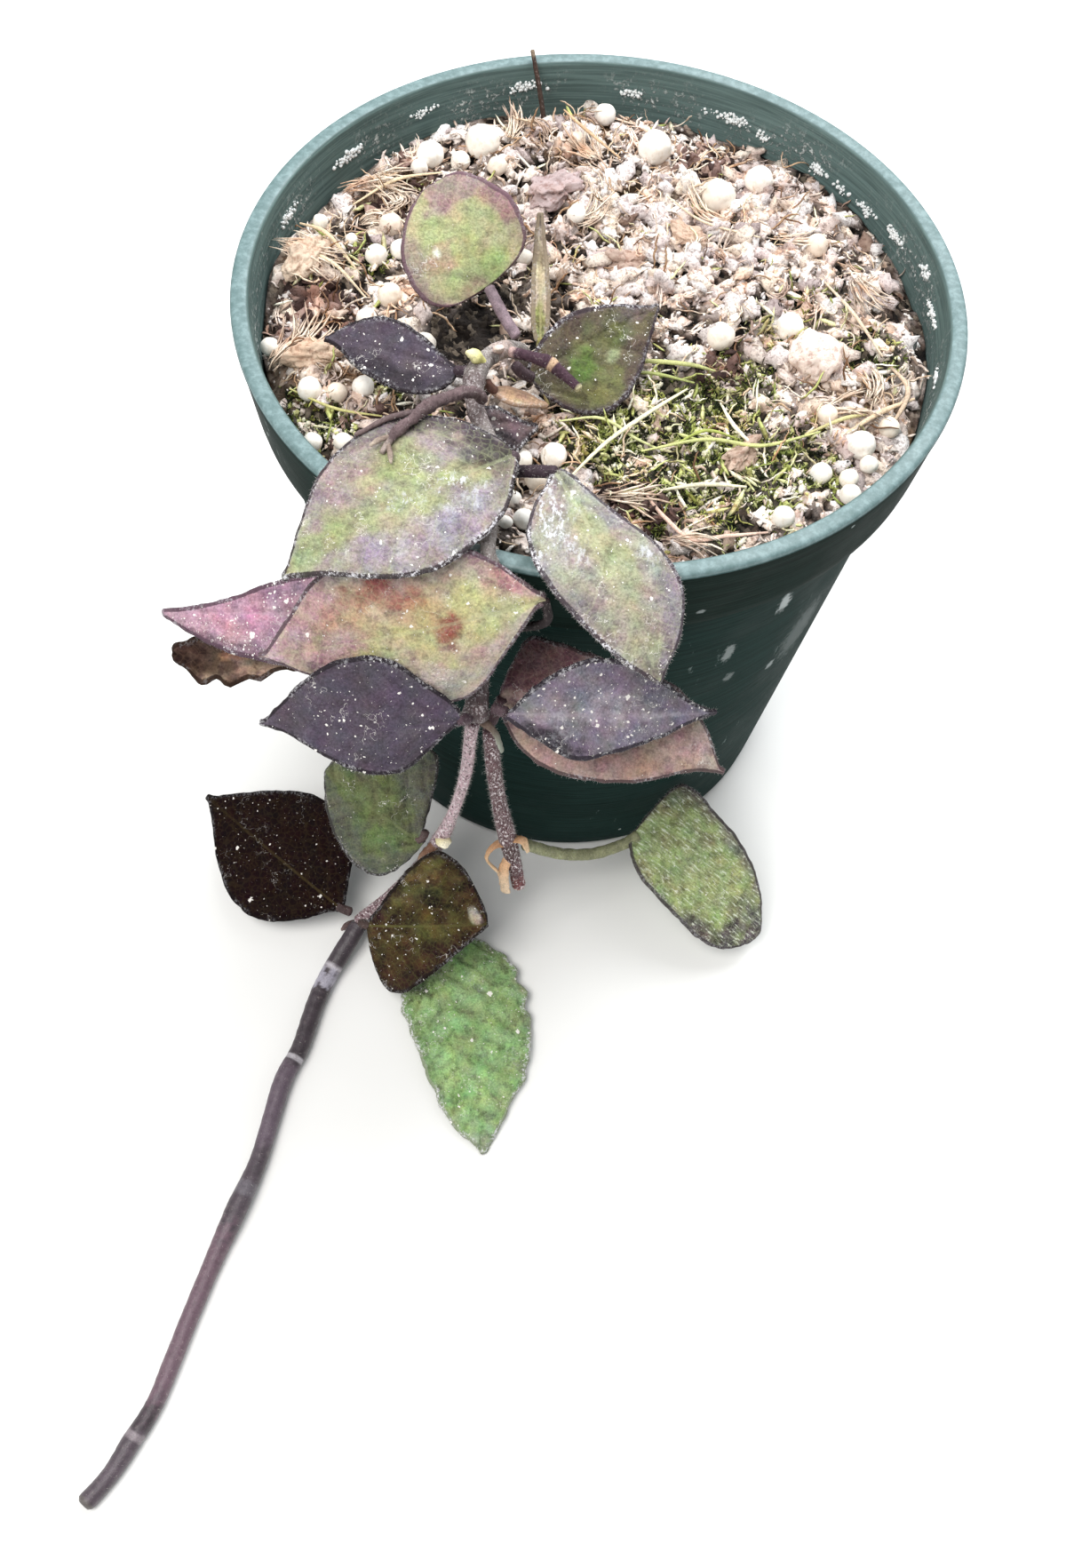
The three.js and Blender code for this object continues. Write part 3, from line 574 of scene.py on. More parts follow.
@dataclass(frozen=True)
class LeafSkin:
    """The living skin of a leaf: its tint with mottling, specks, dust, a dark edge and fine relief."""

    specks: float = 0.35  # share of the speck cells that are filled
    speck_grain: float = 1.7
    mottle: float = 0.5
    mottle_grain: float = 1.8
    hues: float = 0.32  # how far the hue strays from spot to spot
    bloom: float = 0.1
    streaks: float = 0.0
    roughness: float = 0.6
    shine: float = 0.2
    scratches: float = 0.6

    def material(self, name: str, look: LeafPaint, vein_gap: float) -> Material:
        """Make the material.

        Args:
            name: the material's name.
            look: the leaf's colours.
            vein_gap: the distance between side veins in mm.

        Returns:
            The material.
        """
        g = Graph(name)
        patches = g.noise(self.mottle_grain, 6, 0.6)
        fine = g.noise(0.34, 4, 0.65, shift=3.0)
        tint = g.tint()
        stray = g.vector("SCALE", g.noise(3.0, 5, 0.55, shift=13.0).node.outputs["Color"], scale=2.0)
        base = g.mix(self.hues, tint, g.shaded(tint, stray))
        dark = g.shaded(base, (0.42, 0.36, 0.42))
        colour = g.lay(base, dark, patches, 0.5, 0.38, self.mottle)
        light = g.mix(0.45, base, look.vein)
        colour = g.lay(colour, light, patches, 0.54, 0.68, self.mottle * 0.5)
        colour = g.shaded(colour, g.band(fine, 0.32, 0.68, 0.76, 1.24))
        net, _ = g.cells(1.0, 0.5, "DISTANCE_TO_EDGE")
        colour = g.lay(colour, look.vein, net, 0.12, 0.02, 0.16)
        veins = self.veins(g, vein_gap)
        colour = g.mix(g.product(veins, look.vein_strength), colour, look.vein)
        film = g.product(g.band(g.noise(5.5, 4, 0.6, shift=9.0), 0.5, 0.72),
                         g.band(g.noise(0.5, 4, 0.7, shift=5.0), 0.46, 0.62))
        film = g.math("MAXIMUM", g.product(film, self.bloom), self.frost(g))
        colour = g.mix(film, colour, "dfe3ea")
        if self.streaks:
            wool = g.noise(0.5, 5, 0.7, stretch=(0.3, 1.2, 1.0), shift=21.0, place=g.sheet())
            dark = g.shaded(colour, (0.4, 0.4, 0.4))
            colour = g.lay(colour, dark, wool, 0.5, 0.4, self.streaks * 0.6)
            colour = g.lay(colour, "e9efdc", wool, 0.54, 0.64, self.streaks)
        worn = g.math("ADD", g.value("rim"), g.product(g.noise(0.6, 5, 0.7, shift=40.0), 0.9))
        colour = g.lay(colour, look.rim, worn, 0.9, 1.25, 0.9)
        colour = g.mix(g.product(self.marks(g), 0.9), colour, "f4f0ea")
        fluff = g.band(g.noise(0.45, 5, 0.75, shift=44.0), 0.5, 0.57)
        colour = g.mix(g.product(g.value("crust"), fluff), colour, "ecebf0")
        lumpy = g.bump(g.noise(1.4, 4, 0.6, shift=2.0), 0.35, 0.6, under=g.bump(net, 0.5, 0.35))
        relief = g.bump(fine, 0.14, 0.8, under=lumpy)
        rough = g.band(patches, 0.3, 0.7, self.roughness - 0.08, self.roughness + 0.12)
        return g.finish(colour, rough, relief, Specular_IOR_Level=self.shine)

    @staticmethod
    def veins(g: Graph, vein_gap: float) -> Socket:
        """Where the midrib and the thin side veins show.

        Args:
            g: the material's nodes.
            vein_gap: the distance between side veins in mm.

        Returns:
            The share of the veins' colour, from 0 to 1.
        """
        bent = g.math("ADD", g.value("run"), g.product(g.noise(2.4, 3, shift=60.0), 1.6))
        share = g.math("FRACT", g.math("DIVIDE", bent, vein_gap))
        away = g.product(g.math("ABSOLUTE", g.math("SUBTRACT", share, 0.5)), vein_gap)
        side_veins = g.product(g.band(away, 0.26, 0.06), g.value("side_veins"))
        midrib = g.product(g.band(g.math("ABSOLUTE", g.value("aside")), 0.34, 0.12), g.value("midrib"))
        return g.math("MAXIMUM", side_veins, midrib)

    def frost(self, g: Graph) -> Socket:
        """The feathery white strokes where the leaf's own value says so."""
        feathers = g.band(g.noise(0.8, 6, 0.78, stretch=(1.0, 0.5, 1.0), shift=50.0), 0.5, 0.6)
        return g.product(g.value("frost"), feathers)

    def marks(self, g: Graph) -> Socket:
        """Where the white specks, dust grains and scratches lie.

        Args:
            g: the material's nodes.

        Returns:
            The share of white, from 0 to 1.
        """
        crowd = g.band(g.noise(5.0, 3, 0.6, shift=27.0), 0.42, 0.6, 0.35, 1.0)
        total: object = 0.0
        sheet = g.sheet()
        layers = ((self.speck_grain * 1.6, self.specks, 0.19), (1.1, self.specks, 0.2), (0.6, self.specks, 0.24))
        for grain, share, largest in layers:
            distance, cell = g.cells(grain, 0.5 * grain ** 0.5, flat=sheet)
            size = g.product(g.band(cell, 1 - share, 1.0, 0.0, largest), crowd)
            total = g.math("MAXIMUM", total, g.math("LESS_THAN", distance, size))
        crack = g.math("ABSOLUTE", g.math("SUBTRACT", g.noise(6.0, 4, 0.65, shift=31.0), 0.5))
        where = g.band(g.noise(6.0, 2, shift=35.0), 0.54, 0.6, 0.0, self.scratches)
        return g.math("MAXIMUM", total, g.product(g.band(crack, 0.001, 0.005, 1.0, 0.0), where))


@dataclass(frozen=True)
class BarkSkin:
    """The skin of a stem or stalk: its tint, lengthwise cracks and fine grain."""

    grain: float = 0.8
    contrast: float = 0.5
    depth: float = 0.25
    roughness: float = 0.7
    stretch: Point = (1.0, 1.0, 0.35)
    shine: float = 0.3
    speckle: float = 0.0  # share of the skin under dark red and white flecks

    def material(self, name: str) -> Material:
        """Make the material.

        Args:
            name: the material's name.

        Returns:
            The material.
        """
        g = Graph(name)
        cracks = g.noise(self.grain, 6, 0.7, stretch=self.stretch)
        fine = g.noise(0.22, 4, 0.65, shift=4.0)
        tint = g.tint()
        dark = g.shaded(tint, (0.35, 0.3, 0.3))
        colour = g.lay(tint, dark, cracks, 0.5, 0.34, self.contrast)
        colour = g.lay(colour, "b3a6a2", cracks, 0.54, 0.7, self.contrast * 0.5)
        colour = g.shaded(colour, g.band(fine, 0.25, 0.75, 0.75, 1.25))
        if self.speckle:
            dots = g.noise(0.42, 3, 0.6, stretch=(1, 1, 0.5), shift=8.0)
            colour = g.lay(colour, "4a2a30", dots, 0.5, 0.4, self.speckle)
            white = g.noise(0.36, 3, 0.6, stretch=(1, 1, 0.5), shift=33.0)
            colour = g.lay(colour, "f6eef0", white, 0.55, 0.62, self.speckle)
        relief = g.bump(fine, 0.1, 0.6, under=g.bump(cracks, self.depth, 0.8))
        return g.finish(colour, self.roughness, relief, Specular_IOR_Level=self.shine)


@dataclass(frozen=True)
class GrainSkin:
    """Loose matter in the mix: each bit has its own tone between the stops, with painted shade in its pits."""

    tones: tuple[tuple[float, str], ...]
    roughness: float = 0.85
    pits: float = 0.2
    pit_grain: float = 0.5
    # painted shade in the pits: how strong it is and its colour
    pit_shade: float = 0.8
    shade: Colour = (0.4, 0.28, 0.2)
    drift: float = 0.8  # how far the tone drifts from place to place

    def material(self, name: str) -> Material:
        """Make the material.

        Args:
            name: the material's name.

        Returns:
            The material.
        """
        g = Graph(name)
        base = g.ramp(g.value("tone"), self.tones)
        patches = g.noise(self.pit_grain, 5, 0.65)
        drift = g.noise(7.0, 3, 0.6, shift=12.0)
        warm = g.noise(6.0, 3, 0.6, shift=16.0)
        base = g.lay(base, g.shaded(base, (0.5, 0.43, 0.43)), drift, 0.5, 0.36, self.drift)
        base = g.lay(base, g.shaded(base, (0.98, 0.78, 0.66)), warm, 0.52, 0.66, self.drift)
        dark = g.shaded(base, self.shade)
        # painted shade: darker where the pits' relief is low
        colour = g.lay(base, dark, patches, 0.52, 0.36, self.pit_shade)
        relief = g.bump(patches, self.pits, 0.8)
        return g.finish(colour, self.roughness, relief, Specular_IOR_Level=0.25)


@dataclass(frozen=True)
class HairSkin:
    """Short pale hairs that let some light through."""

    colour: str = "e6e2dc"

    def material(self, name: str) -> Material:
        """Make the material.

        Args:
            name: the material's name.

        Returns:
            The material.
        """
        g = Graph(name)
        shade = g.band(g.noise(3.0, 2), 0.3, 0.7, 0.8, 1.0)
        return g.finish(g.shaded(self.colour, shade), 0.6)


@dataclass(frozen=True)
class PotSkin:
    """Moulded plastic with scuffs outside, turned rings inside, a pale worn lip and dried salts; the outside and the
    collar are painted darker than the inside as painted shade.
    """

    lip: str = "5b7475"
    # the inside, the collar and the wall are one plastic; the collar and wall colours are painted darker than the
    # inside, as painted shade
    inner: str = "5b6e6c"
    collar: str = "15231f"
    wall: str = "192c29"
    shine: float = 0.02

    def material(self, name: str) -> Material:
        """Make the material.

        Args:
            name: the material's name.

        Returns:
            The material.
        """
        g = Graph(name)
        # painted shade: the wall and the collar take their darker colours here
        wall = g.mix(g.value("collar"), self.wall, self.collar)
        wall = g.mix(g.value("inside"), wall, self.inner)
        rings = g.noise(0.55, 4, 0.6, stretch=(0.04, 0.04, 1.6))
        wall = g.shaded(wall, g.band(rings, 0.3, 0.7, 0.75, 1.35))
        cloudy = g.noise(14.0, 4, 0.6)
        wall = g.lay(wall, "4f6663", cloudy, 0.5, 0.72, 0.06)
        streaks = g.noise(1.6, 5, 0.7, stretch=(1.0, 1.0, 0.16), shift=7.0)
        scuffs = g.product(g.band(streaks, 0.62, 0.68), g.band(g.noise(9, 3, shift=2.0), 0.52, 0.6))
        wall = g.mix(g.product(scuffs, 0.4), wall, "9aa8a6")
        ragged = g.product(g.noise(0.9, 4, 0.7, shift=21.0), 1.6)
        for *middle, wide, squat, strength in SCRAPES:
            away = g.vector("SUBTRACT", g.place, tuple(middle))
            away = g.vector("MULTIPLY", away, (1 / wide, 1 / wide, squat / wide))
            away = g.math("ADD", g.vector("LENGTH", away), ragged)
            wall = g.lay(wall, "c3cbca", away, 1.8, 1.2, strength)
        distance, cell = g.cells(5.5, 0.4)
        flecks = g.math("LESS_THAN", distance, g.band(cell, 0.7, 1.0, 0, 0.14))
        wall = g.mix(g.product(flecks, 0.6), wall, "b9c4c2")
        worn = g.noise(1.3, 6, 0.7, shift=11.0)
        lip = g.lay(self.lip, "8aa2a4", worn, 0.42, 0.66, 0.5)
        lip = g.lay(lip, "486462", worn, 0.46, 0.3, 0.6)
        colour = g.mix(g.value("lip"), wall, lip)
        salts = g.product(g.value("salts"), g.band(g.noise(0.8, 6, 0.72, shift=15.0), 0.52, 0.62))
        colour = g.mix(salts, colour, "dfe6e4")
        rough = g.band(cloudy, 0.3, 0.7, 0.5, 0.66)
        relief = g.bump(rings, 0.12, 0.35, under=g.bump(salts, 0.3, 0.8))
        return g.finish(colour, rough, relief, Specular_IOR_Level=self.shine)


@dataclass(frozen=True)
class BedSkin:
    """The fine matter under and between the grains, with painted shade in its hollows and paler on top."""

    def material(self, name: str) -> Material:
        """Make the material.

        Args:
            name: the material's name.

        Returns:
            The material.
        """
        g = Graph(name)
        fine = g.noise(0.6, 6, 0.72)
        crumbs, cell = g.cells(0.9, 0.6)
        # painted shade: darker where the fine relief is low
        colour = g.shaded(g.tint(), g.band(fine, 0.25, 0.75, 0.55, 1.4))
        colour = g.lay(colour, "cdbba6", cell, 0.5, 1.0, 0.3)
        relief = g.bump(g.math("SUBTRACT", 1.0, crumbs), 0.5, 0.9, under=g.bump(fine, 0.3, 0.8))
        return g.finish(colour, 0.9, relief, Specular_IOR_Level=0.2)


# ---- tubes


@dataclass(frozen=True)
class Stretch:
    """A stretch of a stem in another colour; at and reach are shares of the stem's length."""

    at: float
    reach: float
    colour: str
    strength: float = 1.0
    ragged: float = 0.25


def tube(stations: Sequence[tuple[float, ...]], sides: int, step: float, relief: Relief, flat: float = 1.0,
         finish: int = 0) -> Form:
    """A closed round form along stations of x, y, z and radius.

    Args:
        stations: the stations, in mm.
        sides: faces around it.
        step: the distance between rings in mm.
        relief: gives how far the points of a ring stand out, as a share of the radius.
        flat: height of the section as a share of its width.
        finish: the finish index of its faces.

    Returns:
        The form, with each point's share of the length under "along".
    """
    rows = np.array(stations, float)
    length = np.linalg.norm(np.diff(rows[:, :3], axis=0), axis=1).sum()
    spans = max(int(length / step), 2 * (len(rows) - 1))
    places = np.linspace(0, len(rows) - 1, spans + 1)
    line = np.array([[smooth_value(rows[:, k], x) for k in range(4)] for x in places])
    centres = line[:, :3]
    along = np.array([unit(centres[min(k + 1, spans)] - centres[max(k - 1, 0)]) for k in range(spans + 1)])
    first, last = line[0, 3], line[-1, 3]
    rings = [(centres[0] - along[0] * first * 0.3, along[0], first * 0.7)]
    rings += [(centres[k], along[k], line[k, 3]) for k in range(spans + 1)]
    rings.append((centres[-1] + along[-1] * last * 0.3, along[-1], last * 0.7))
    side = np.cross((0, 0, 1.0), along[0])
    side = side if np.linalg.norm(side) > 0.1 else np.array((1.0, 0, 0))
    angles = np.arange(sides) * 2 * math.pi / sides
    points, shares = [], []
    for k, (centre, direction, radius) in enumerate(rings):
        side = unit(side - direction * side.dot(direction))
        up = np.cross(direction, side)
        circle = np.outer(np.cos(angles), side) + np.outer(np.sin(angles) * flat, up)
        share = k / (len(rings) - 1)
        swell = relief(centre + circle * radius, angles, share)
        points.append(centre + circle * radius * (1 + np.reshape(swell, (-1, 1))))
        shares += [share] * sides
    faces = wall_faces(len(rings), sides)
    return Form(np.concatenate(points), faces, [finish] * len(faces), {"along": np.array(shares)})


@dataclass
class Stem:
    """A stem through its stations, with wrinkled bark, swollen nodes and dry scales."""

    name: str
    stations: Sequence[tuple[float, float, float, float]]
    colour: str
    skin: BarkSkin
    stretches: Sequence[Stretch] = ()
    scales: Sequence["Scale"] = ()
    ripple: float = 0.05
    hairiness: float = 0.0
    rings: float = 1.1  # mm between the fine rings round the bark
    sides: int = 20
    step: float = 0.35
    slim: float = 1.0  # the visible bark's radius as a share of its node's

    def relief(self, points: Array, angles: Array, share: float) -> Array:
        """Fine rings, furrows and lumps on the bark.

        Args:
            points: the points of one ring, in mm.
            angles: their angles round the stem.
            share: the ring's share of the length.

        Returns:
            How far each point stands out, as a share of the radius.
        """
        furrows = np.array([noise.noise(Vector((a * 1.4, share * 9, 4))) for a in angles * 2])
        ring = math.sin(share * 400 / self.rings)
        return self.ripple * (lumps_at(points, 1.6, 3) + 0.6 * furrows + 0.25 * ring)

    def tint(self, form: Form) -> Array:
        """Colour the stem's bark.

        Args:
            form: the stem's form, with its shares of the length.

        Returns:
            The colour at each point.
        """
        lumps = cloud(form.points, 2.4, 3, 5.0)
        colours = np.tile(np.array(paint(self.colour)), (len(form.points), 1))
        colours = colours * (1 + 0.35 * lumps)[:, None]
        for k, part in enumerate(self.stretches):
            ragged = cloud(form.points, 1.1, 3, 11.0 + k) * part.ragged * part.reach
            away = np.abs(form.values["along"] - part.at) + ragged
            weight = (1 - smooth_step(part.reach * 0.7, part.reach, away)) * part.strength
            colours = blend(colours, paint(part.colour), weight)
        return np.clip(colours, 0, 1)

    def form(self) -> Form:
        """Shape the stem.

        Returns:
            Its form, with its scales as a second finish.
        """
        stations = [(x, y, z, radius * self.slim) for x, y, z, radius in self.stations]
        body = tube(stations, self.sides, self.step, self.relief)
        body.values["tint"] = self.tint(body)
        body.values["hairs"] = np.full(len(body.points), self.hairiness)
        return Form.joined([body, *(scale.form() for scale in self.scales)])

    def build(self) -> Piece:
        """Make the stem and let it stand for its node.

        Returns:
            The finished piece.
        """
        materials = [self.skin.material(f"{self.name} bark"), DRY_SKIN.material(f"{self.name} scale")]
        obj = self.form().make(f"{self.name}_bark", materials)
        seat(obj, self.name, self.name)
        return obj


@dataclass(frozen=True)
class Scale:
    """A dry scale, bud or sheath on a stem: a flattened tube through its stations."""

    stations: tuple[tuple[float, float, float, float], ...]
    colour: str
    end_colour: str
    flat: float = 0.6

    def form(self) -> Form:
        """Shape and tint the scale.

        Returns:
            Its form, in the stem's second finish.
        """
        body = tube(self.stations, 10, 0.3, crumpled(0.22, 0.9, 3), self.flat, finish=1)
        base = np.tile(np.array(paint(self.colour)), (len(body.points), 1))
        body.values["tint"] = blend(base, paint(self.end_colour), smooth_step(0.3, 0.9, body.values["along"]))
        body.values["hairs"] = np.full(len(body.points), 0.2)
        return body


# ---- leaves


class Side(Enum):
    """Which half of a blade a row of half widths is for."""

    LEFT = 0
    RIGHT = 1


@dataclass(frozen=True)
class Patch:
    """A patch of colour on a blade.

    t is the share of the length from the base; s runs from -1 at the left margin to 1 at the right.
    """

    t: float
    s: float
    reach_t: float
    reach_s: float
    colour: str
    strength: float = 0.8
    ragged: float = 0.6


@dataclass(frozen=True)
class LeafPaint:
    """A leaf's colours from the midrib to the margin, with its patches."""

    field_colour: str
    middle: str
    margin: str
    rim: str
    vein: str
    middle_width: float = 0.45
    middle_strength: float = 0.8
    margin_width: float = 0.25
    margin_strength: float = 0.7
    vein_strength: float = 0.35
    crust: tuple[float, float] = (0.6, 0.6)  # white fluff on the left and right margin
    patches: tuple[Patch, ...] = ()
    frost: tuple[Patch, ...] = ()
    side_veins: float = 0.3  # how strong the side veins are beside the midrib


@dataclass
class Leaf:
    """A leaf: a curved blade with veins and puckers, a soft rim and a stalk.

    The blade lies from base to tip with its upper side towards face. arch lifts the midrib and
    cup lifts or drops the left and right margin, all in mm. left and right are the half widths
    at seven stations that close up towards the ends.
    """

    name: str
    base: Point
    tip: Point
    face: Point
    arch: float
    cup: tuple[float, float]
    left: tuple[float, ...]
    right: tuple[float, ...]
    petiole: tuple[Point, ...]
    paint: LeafPaint
    skin: LeafSkin
    stalk_colour: str = "5a4a50"
    pucker: float = 0.18  # how far the skin between the veins stands up, in mm
    vein_gap: float = 4.2  # between side veins, in mm
    slant: float = 0.9  # how far a side vein runs on for each mm to the side
    hairs: float = 0.35
    rim_hairs: float = 0.7
    ruffle: float = 0.03  # how far the margin waves, as a share of the half width
    edge_width: float = 0.8  # of the dark line along the margin, in mm
    stalk_radius: float = 0.85
    thickness: float = 0.82
    rim_thickness: float = 0.5
    root_half_width: float = 0.6
    tip_half_width: float = 0.25
    rows: int = 76
    columns: int = 48

    def __post_init__(self) -> None:
        """Work out the blade's own directions."""
        base = np.array(self.base)
        run = np.array(self.tip) - base
        self.length = float(np.linalg.norm(run))
        self.along = run / self.length
        face = np.array(self.face)
        self.up = unit(face - self.along * face.dot(self.along))
        self.across = np.cross(self.along, self.up)
        self.widest = max(*self.left, *self.right)
        ends = (self.root_half_width, self.tip_half_width)
        self.half_widths = {
            Side.LEFT: (ends[0], *self.left, ends[1]),
            Side.RIGHT: (ends[0], *self.right, ends[1]),
        }

    def veins(self, a: Array, b: Array, wander: Array) -> dict[str, Array]:
        """Where the midrib and the side veins run.

        Args:
            a: distance from the base along the midrib, in mm.
            b: distance from the midrib, in mm, under 0 on the left.
            wander: how far each point's side veins stray, in mm.

        Returns:
            The run across the side veins and the place down and aside of the midrib in mm,
            and how strong the side veins and the midrib are, from 0 to 1.
        """
        run = a - np.abs(b) * self.slant + wander + np.where(b < 0, 0.45, 0.0) * self.vein_gap
        fade = 1 - smooth_step(0.6, 1.0, np.abs(b) / self.widest)
        return {"run": run, "down": a, "aside": b, "side_veins": fade * self.paint.side_veins,
                "midrib": np.clip(1.25 - a / self.length, 0, 1)}

    def grid(self) -> tuple[Array, Array, Array, Array]:
        """The blade's middle sheet.

        Returns:
            The points in rows, each point's t, its s and its distance from the midrib in mm.
        """
        base = np.array(self.base)
        points = np.zeros((self.rows + 1, self.columns + 1, 3))
        t_values = np.zeros(points.shape[:2])
        s_values = np.zeros(points.shape[:2])
        offsets = np.zeros(points.shape[:2])
        for row in range(self.rows + 1):
            t = (1 - math.cos(math.pi * row / self.rows)) / 2
            widths = {
                side: max(smooth_value(row_widths, row / self.rows * (len(row_widths) - 1)), 0.2)
                for side, row_widths in self.half_widths.items()
            }
            for column in range(self.columns + 1):
                s = 2 * column / self.columns - 1
                s = math.copysign(abs(s) ** 0.85, s)
                side = Side.LEFT if s < 0 else Side.RIGHT
                sway = noise.noise(Vector((t * self.length / 2.6, 7.0 * side.value, self.length)))
                offset = s * widths[side] * (1 + self.ruffle * sway * abs(s) ** 3)
                lift = self.arch * math.sin(math.pi * t) + self.cup[side.value] * (offset / self.widest) ** 2
                points[row, column] = base + self.along * t * self.length + self.across * offset + self.up * lift
                t_values[row, column], s_values[row, column], offsets[row, column] = t, s, offset
        return points, t_values, s_values, offsets

    def tint(self, points: Array, t: Array, s: Array) -> Array:
        """Colour the blade.

        Args:
            points: its points, in mm.
            t: each point's share of the length.
            s: each point's place from the left margin at -1 to the right one at 1.

        Returns:
            The colour at each point.
        """
        look = self.paint
        lumps = cloud(points, 5.0, 4, 3.0)
        small = cloud(points, 1.8, 3, 8.0)
        colour = np.tile(np.array(paint(look.field_colour)), (len(points), 1))
        near = 1 - smooth_step(look.middle_width * 0.35, look.middle_width, np.abs(s) + 0.45 * lumps)
        colour = blend(colour, paint(look.middle), near * look.middle_strength)
        outward = np.maximum(np.abs(s), 2 * np.abs(t - 0.5) ** 1.2) + 0.12 * small
        edge = smooth_step(1 - look.margin_width, 1.0, outward)
        colour = blend(colour, paint(look.margin), edge * look.margin_strength)
        for k, patch in enumerate(look.patches):
            stray = cloud(points, 2.6, 4, 14.0 + 3 * k)
            away = np.hypot((t - patch.t) / patch.reach_t, (s - patch.s) / patch.reach_s) + patch.ragged * stray
            colour = blend(colour, paint(patch.colour), (1 - smooth_step(0.45, 1.15, away)) * patch.strength)
        return np.clip(colour * (1 + 0.12 * small)[:, None], 0, 1)

    def blade(self) -> Form:
        """Shape the blade: an upper and an under side joined by a soft rim.

        Returns:
            Its form, with every value that its finish and its hairs read.
        """
        grid, t, s, offset = self.grid()
        flat = grid.reshape(-1, 3)
        wander = cloud(flat, 6.0, 2, 1.0) * 1.1
        veins = self.veins((t * self.length).ravel(), offset.ravel(), wander)
        midrib = np.exp(-(veins["aside"] / 0.42) ** 2) * veins["midrib"]
        away = np.abs((veins["run"] / self.vein_gap) % 1 - 0.5) * self.vein_gap
        side_veins = np.exp(-(away / 0.42) ** 2) * (1 - smooth_step(0.55, 1.0, np.abs(veins["aside"]) / self.widest))
        lumps = cloud(flat, 3.4, 3, 6.0)
        inside = 1 - smooth_step(0.8, 1.0, np.abs(s.ravel()))
        raised = self.pucker * ((0.55 - side_veins) * inside + 0.75 * lumps) - 0.28 * midrib * inside
        down = np.gradient(grid, axis=0)
        over = np.gradient(grid, axis=1)
        normal = np.cross(over, down)
        normal /= np.linalg.norm(normal, axis=2, keepdims=True)
        edge = np.abs(s) ** 2
        half = (self.thickness + (self.rim_thickness - self.thickness) * edge) / 2
        middle = grid + normal * raised.reshape(t.shape)[..., None]
        top = (middle + normal * half[..., None]).reshape(-1, 3)
        bottom = (middle - normal * half[..., None]).reshape(-1, 3)
        wide = self.columns + 1
        under = len(top)
        faces: list[tuple[int, ...]] = []
        for row in range(self.rows):
            for column in range(self.columns):
                a = row * wide + column
                b, c, d = a + 1, a + wide + 1, a + wide
                faces += [(a, b, c, d), (under + a, under + d, under + c, under + b)]
        loop = list(range(self.columns))
        loop += [row * wide + self.columns for row in range(self.rows)]
        loop += [self.rows * wide + column for column in range(self.columns, 0, -1)]
        loop += [row * wide for row in range(self.rows, 0, -1)]
        centre = middle.reshape(-1, 3)
        lap = np.array([centre[i] for i in loop])
        outward = lap - np.roll(lap, 1, axis=0) + np.roll(lap, -1, axis=0) - lap
        outward = np.cross(outward, np.array([normal.reshape(-1, 3)[i] for i in loop]))
        outward /= np.linalg.norm(outward, axis=1, keepdims=True) + 1e-9
        wave = cloud(lap, 1.3, 3, 2.0)
        rim = lap + outward * (0.2 + 0.16 * wave)[:, None]
        ring = under * 2
        for k, a in enumerate(loop):
            following = (k + 1) % len(loop)
            b = loop[following]
            faces += [(a, ring + k, ring + following, b), (under + a, under + b, ring + following, ring + k)]
        tint = self.tint(flat, t.ravel(), s.ravel())
        # painted shade in the vein grooves and painted highlight on the puckered ridges and lumps
        tint = tint * (1 + min(self.pucker, 0.32) * (0.4 - 0.9 * side_veins + 0.9 * lumps))[:, None]
        width = np.where(np.abs(s) > 0.02, np.abs(offset) / np.maximum(np.abs(s), 0.02), self.widest)
        gap = ((1 - np.abs(s)) * width).ravel()
        nearness = 1 - smooth_step(0.2, self.edge_width, gap)
        crust = np.where(s.ravel() < 0, *self.paint.crust) * (1 - smooth_step(0.15, 1.0, gap))
        crust = crust * smooth_step(-0.35, 0.25, cloud(flat, 3.5, 2, 17.0))
        frost = np.zeros(len(flat))
        for place in self.paint.frost:
            stray = cloud(flat, 2.2, 3, 23.0)
            away = np.hypot((t.ravel() - place.t) / place.reach_t, (s.ravel() - place.s) / place.reach_s)
            frost = np.maximum(frost, (1 - smooth_step(0.3, 1.1, away + 0.7 * stray)) * place.strength)
        fur = self.hairs * (0.6 + 0.6 * inside)
        values = {
            "tint": np.concatenate([tint, tint * 0.9, tint[loop]]),
            **{name: np.concatenate([value, value, value[loop]]) for name, value in veins.items()},
            "rim": np.concatenate([nearness, nearness, np.ones(len(loop))]),
            "crust": np.concatenate([crust, crust, crust[loop]]),
            "frost": np.concatenate([frost, np.zeros(under + len(loop))]),
            "hairs": np.concatenate([fur * 0.5, fur * 0.5, np.full(len(loop), 12 * self.rim_hairs)]),
        }
        return Form(np.concatenate([top, bottom, rim]), faces, [0] * len(faces), values)

    def stalk(self) -> Form:
        """Shape the leaf's stalk, ringed and hairy.

        Returns:
            Its form, in the leaf's second finish.
        """
        def relief(points: Array, _angles: Array, share: float) -> Array:
            """Lumps and fine rings."""
            return 0.08 * lumps_at(points, 1.1, 2) + 0.03 * math.sin(share * 60)
        form = tube([(*point, self.stalk_radius) for point in self.petiole], 14, 0.35, relief, finish=1)
        colour = np.array(paint(self.stalk_colour)) * (1 + 0.4 * cloud(form.points, 1.2, 3))[:, None]
        form.values["tint"] = np.clip(colour, 0, 1)
        form.values["hairs"] = np.full(len(form.points), 1.6 * self.rim_hairs)
        return form

    def build(self) -> Piece:
        """Make the leaf and let it stand for its node.

        Returns:
            The finished piece.
        """
        skin = self.skin.material(f"{self.name} skin", self.paint, self.vein_gap)
        materials = [skin, STALK_SKIN.material(f"{self.name} stalk")]
        obj = Form.joined([self.blade(), self.stalk()]).make(f"{self.name}_blade", materials)
        seat(obj, self.name, self.name)
        return obj


# ---- small shapes


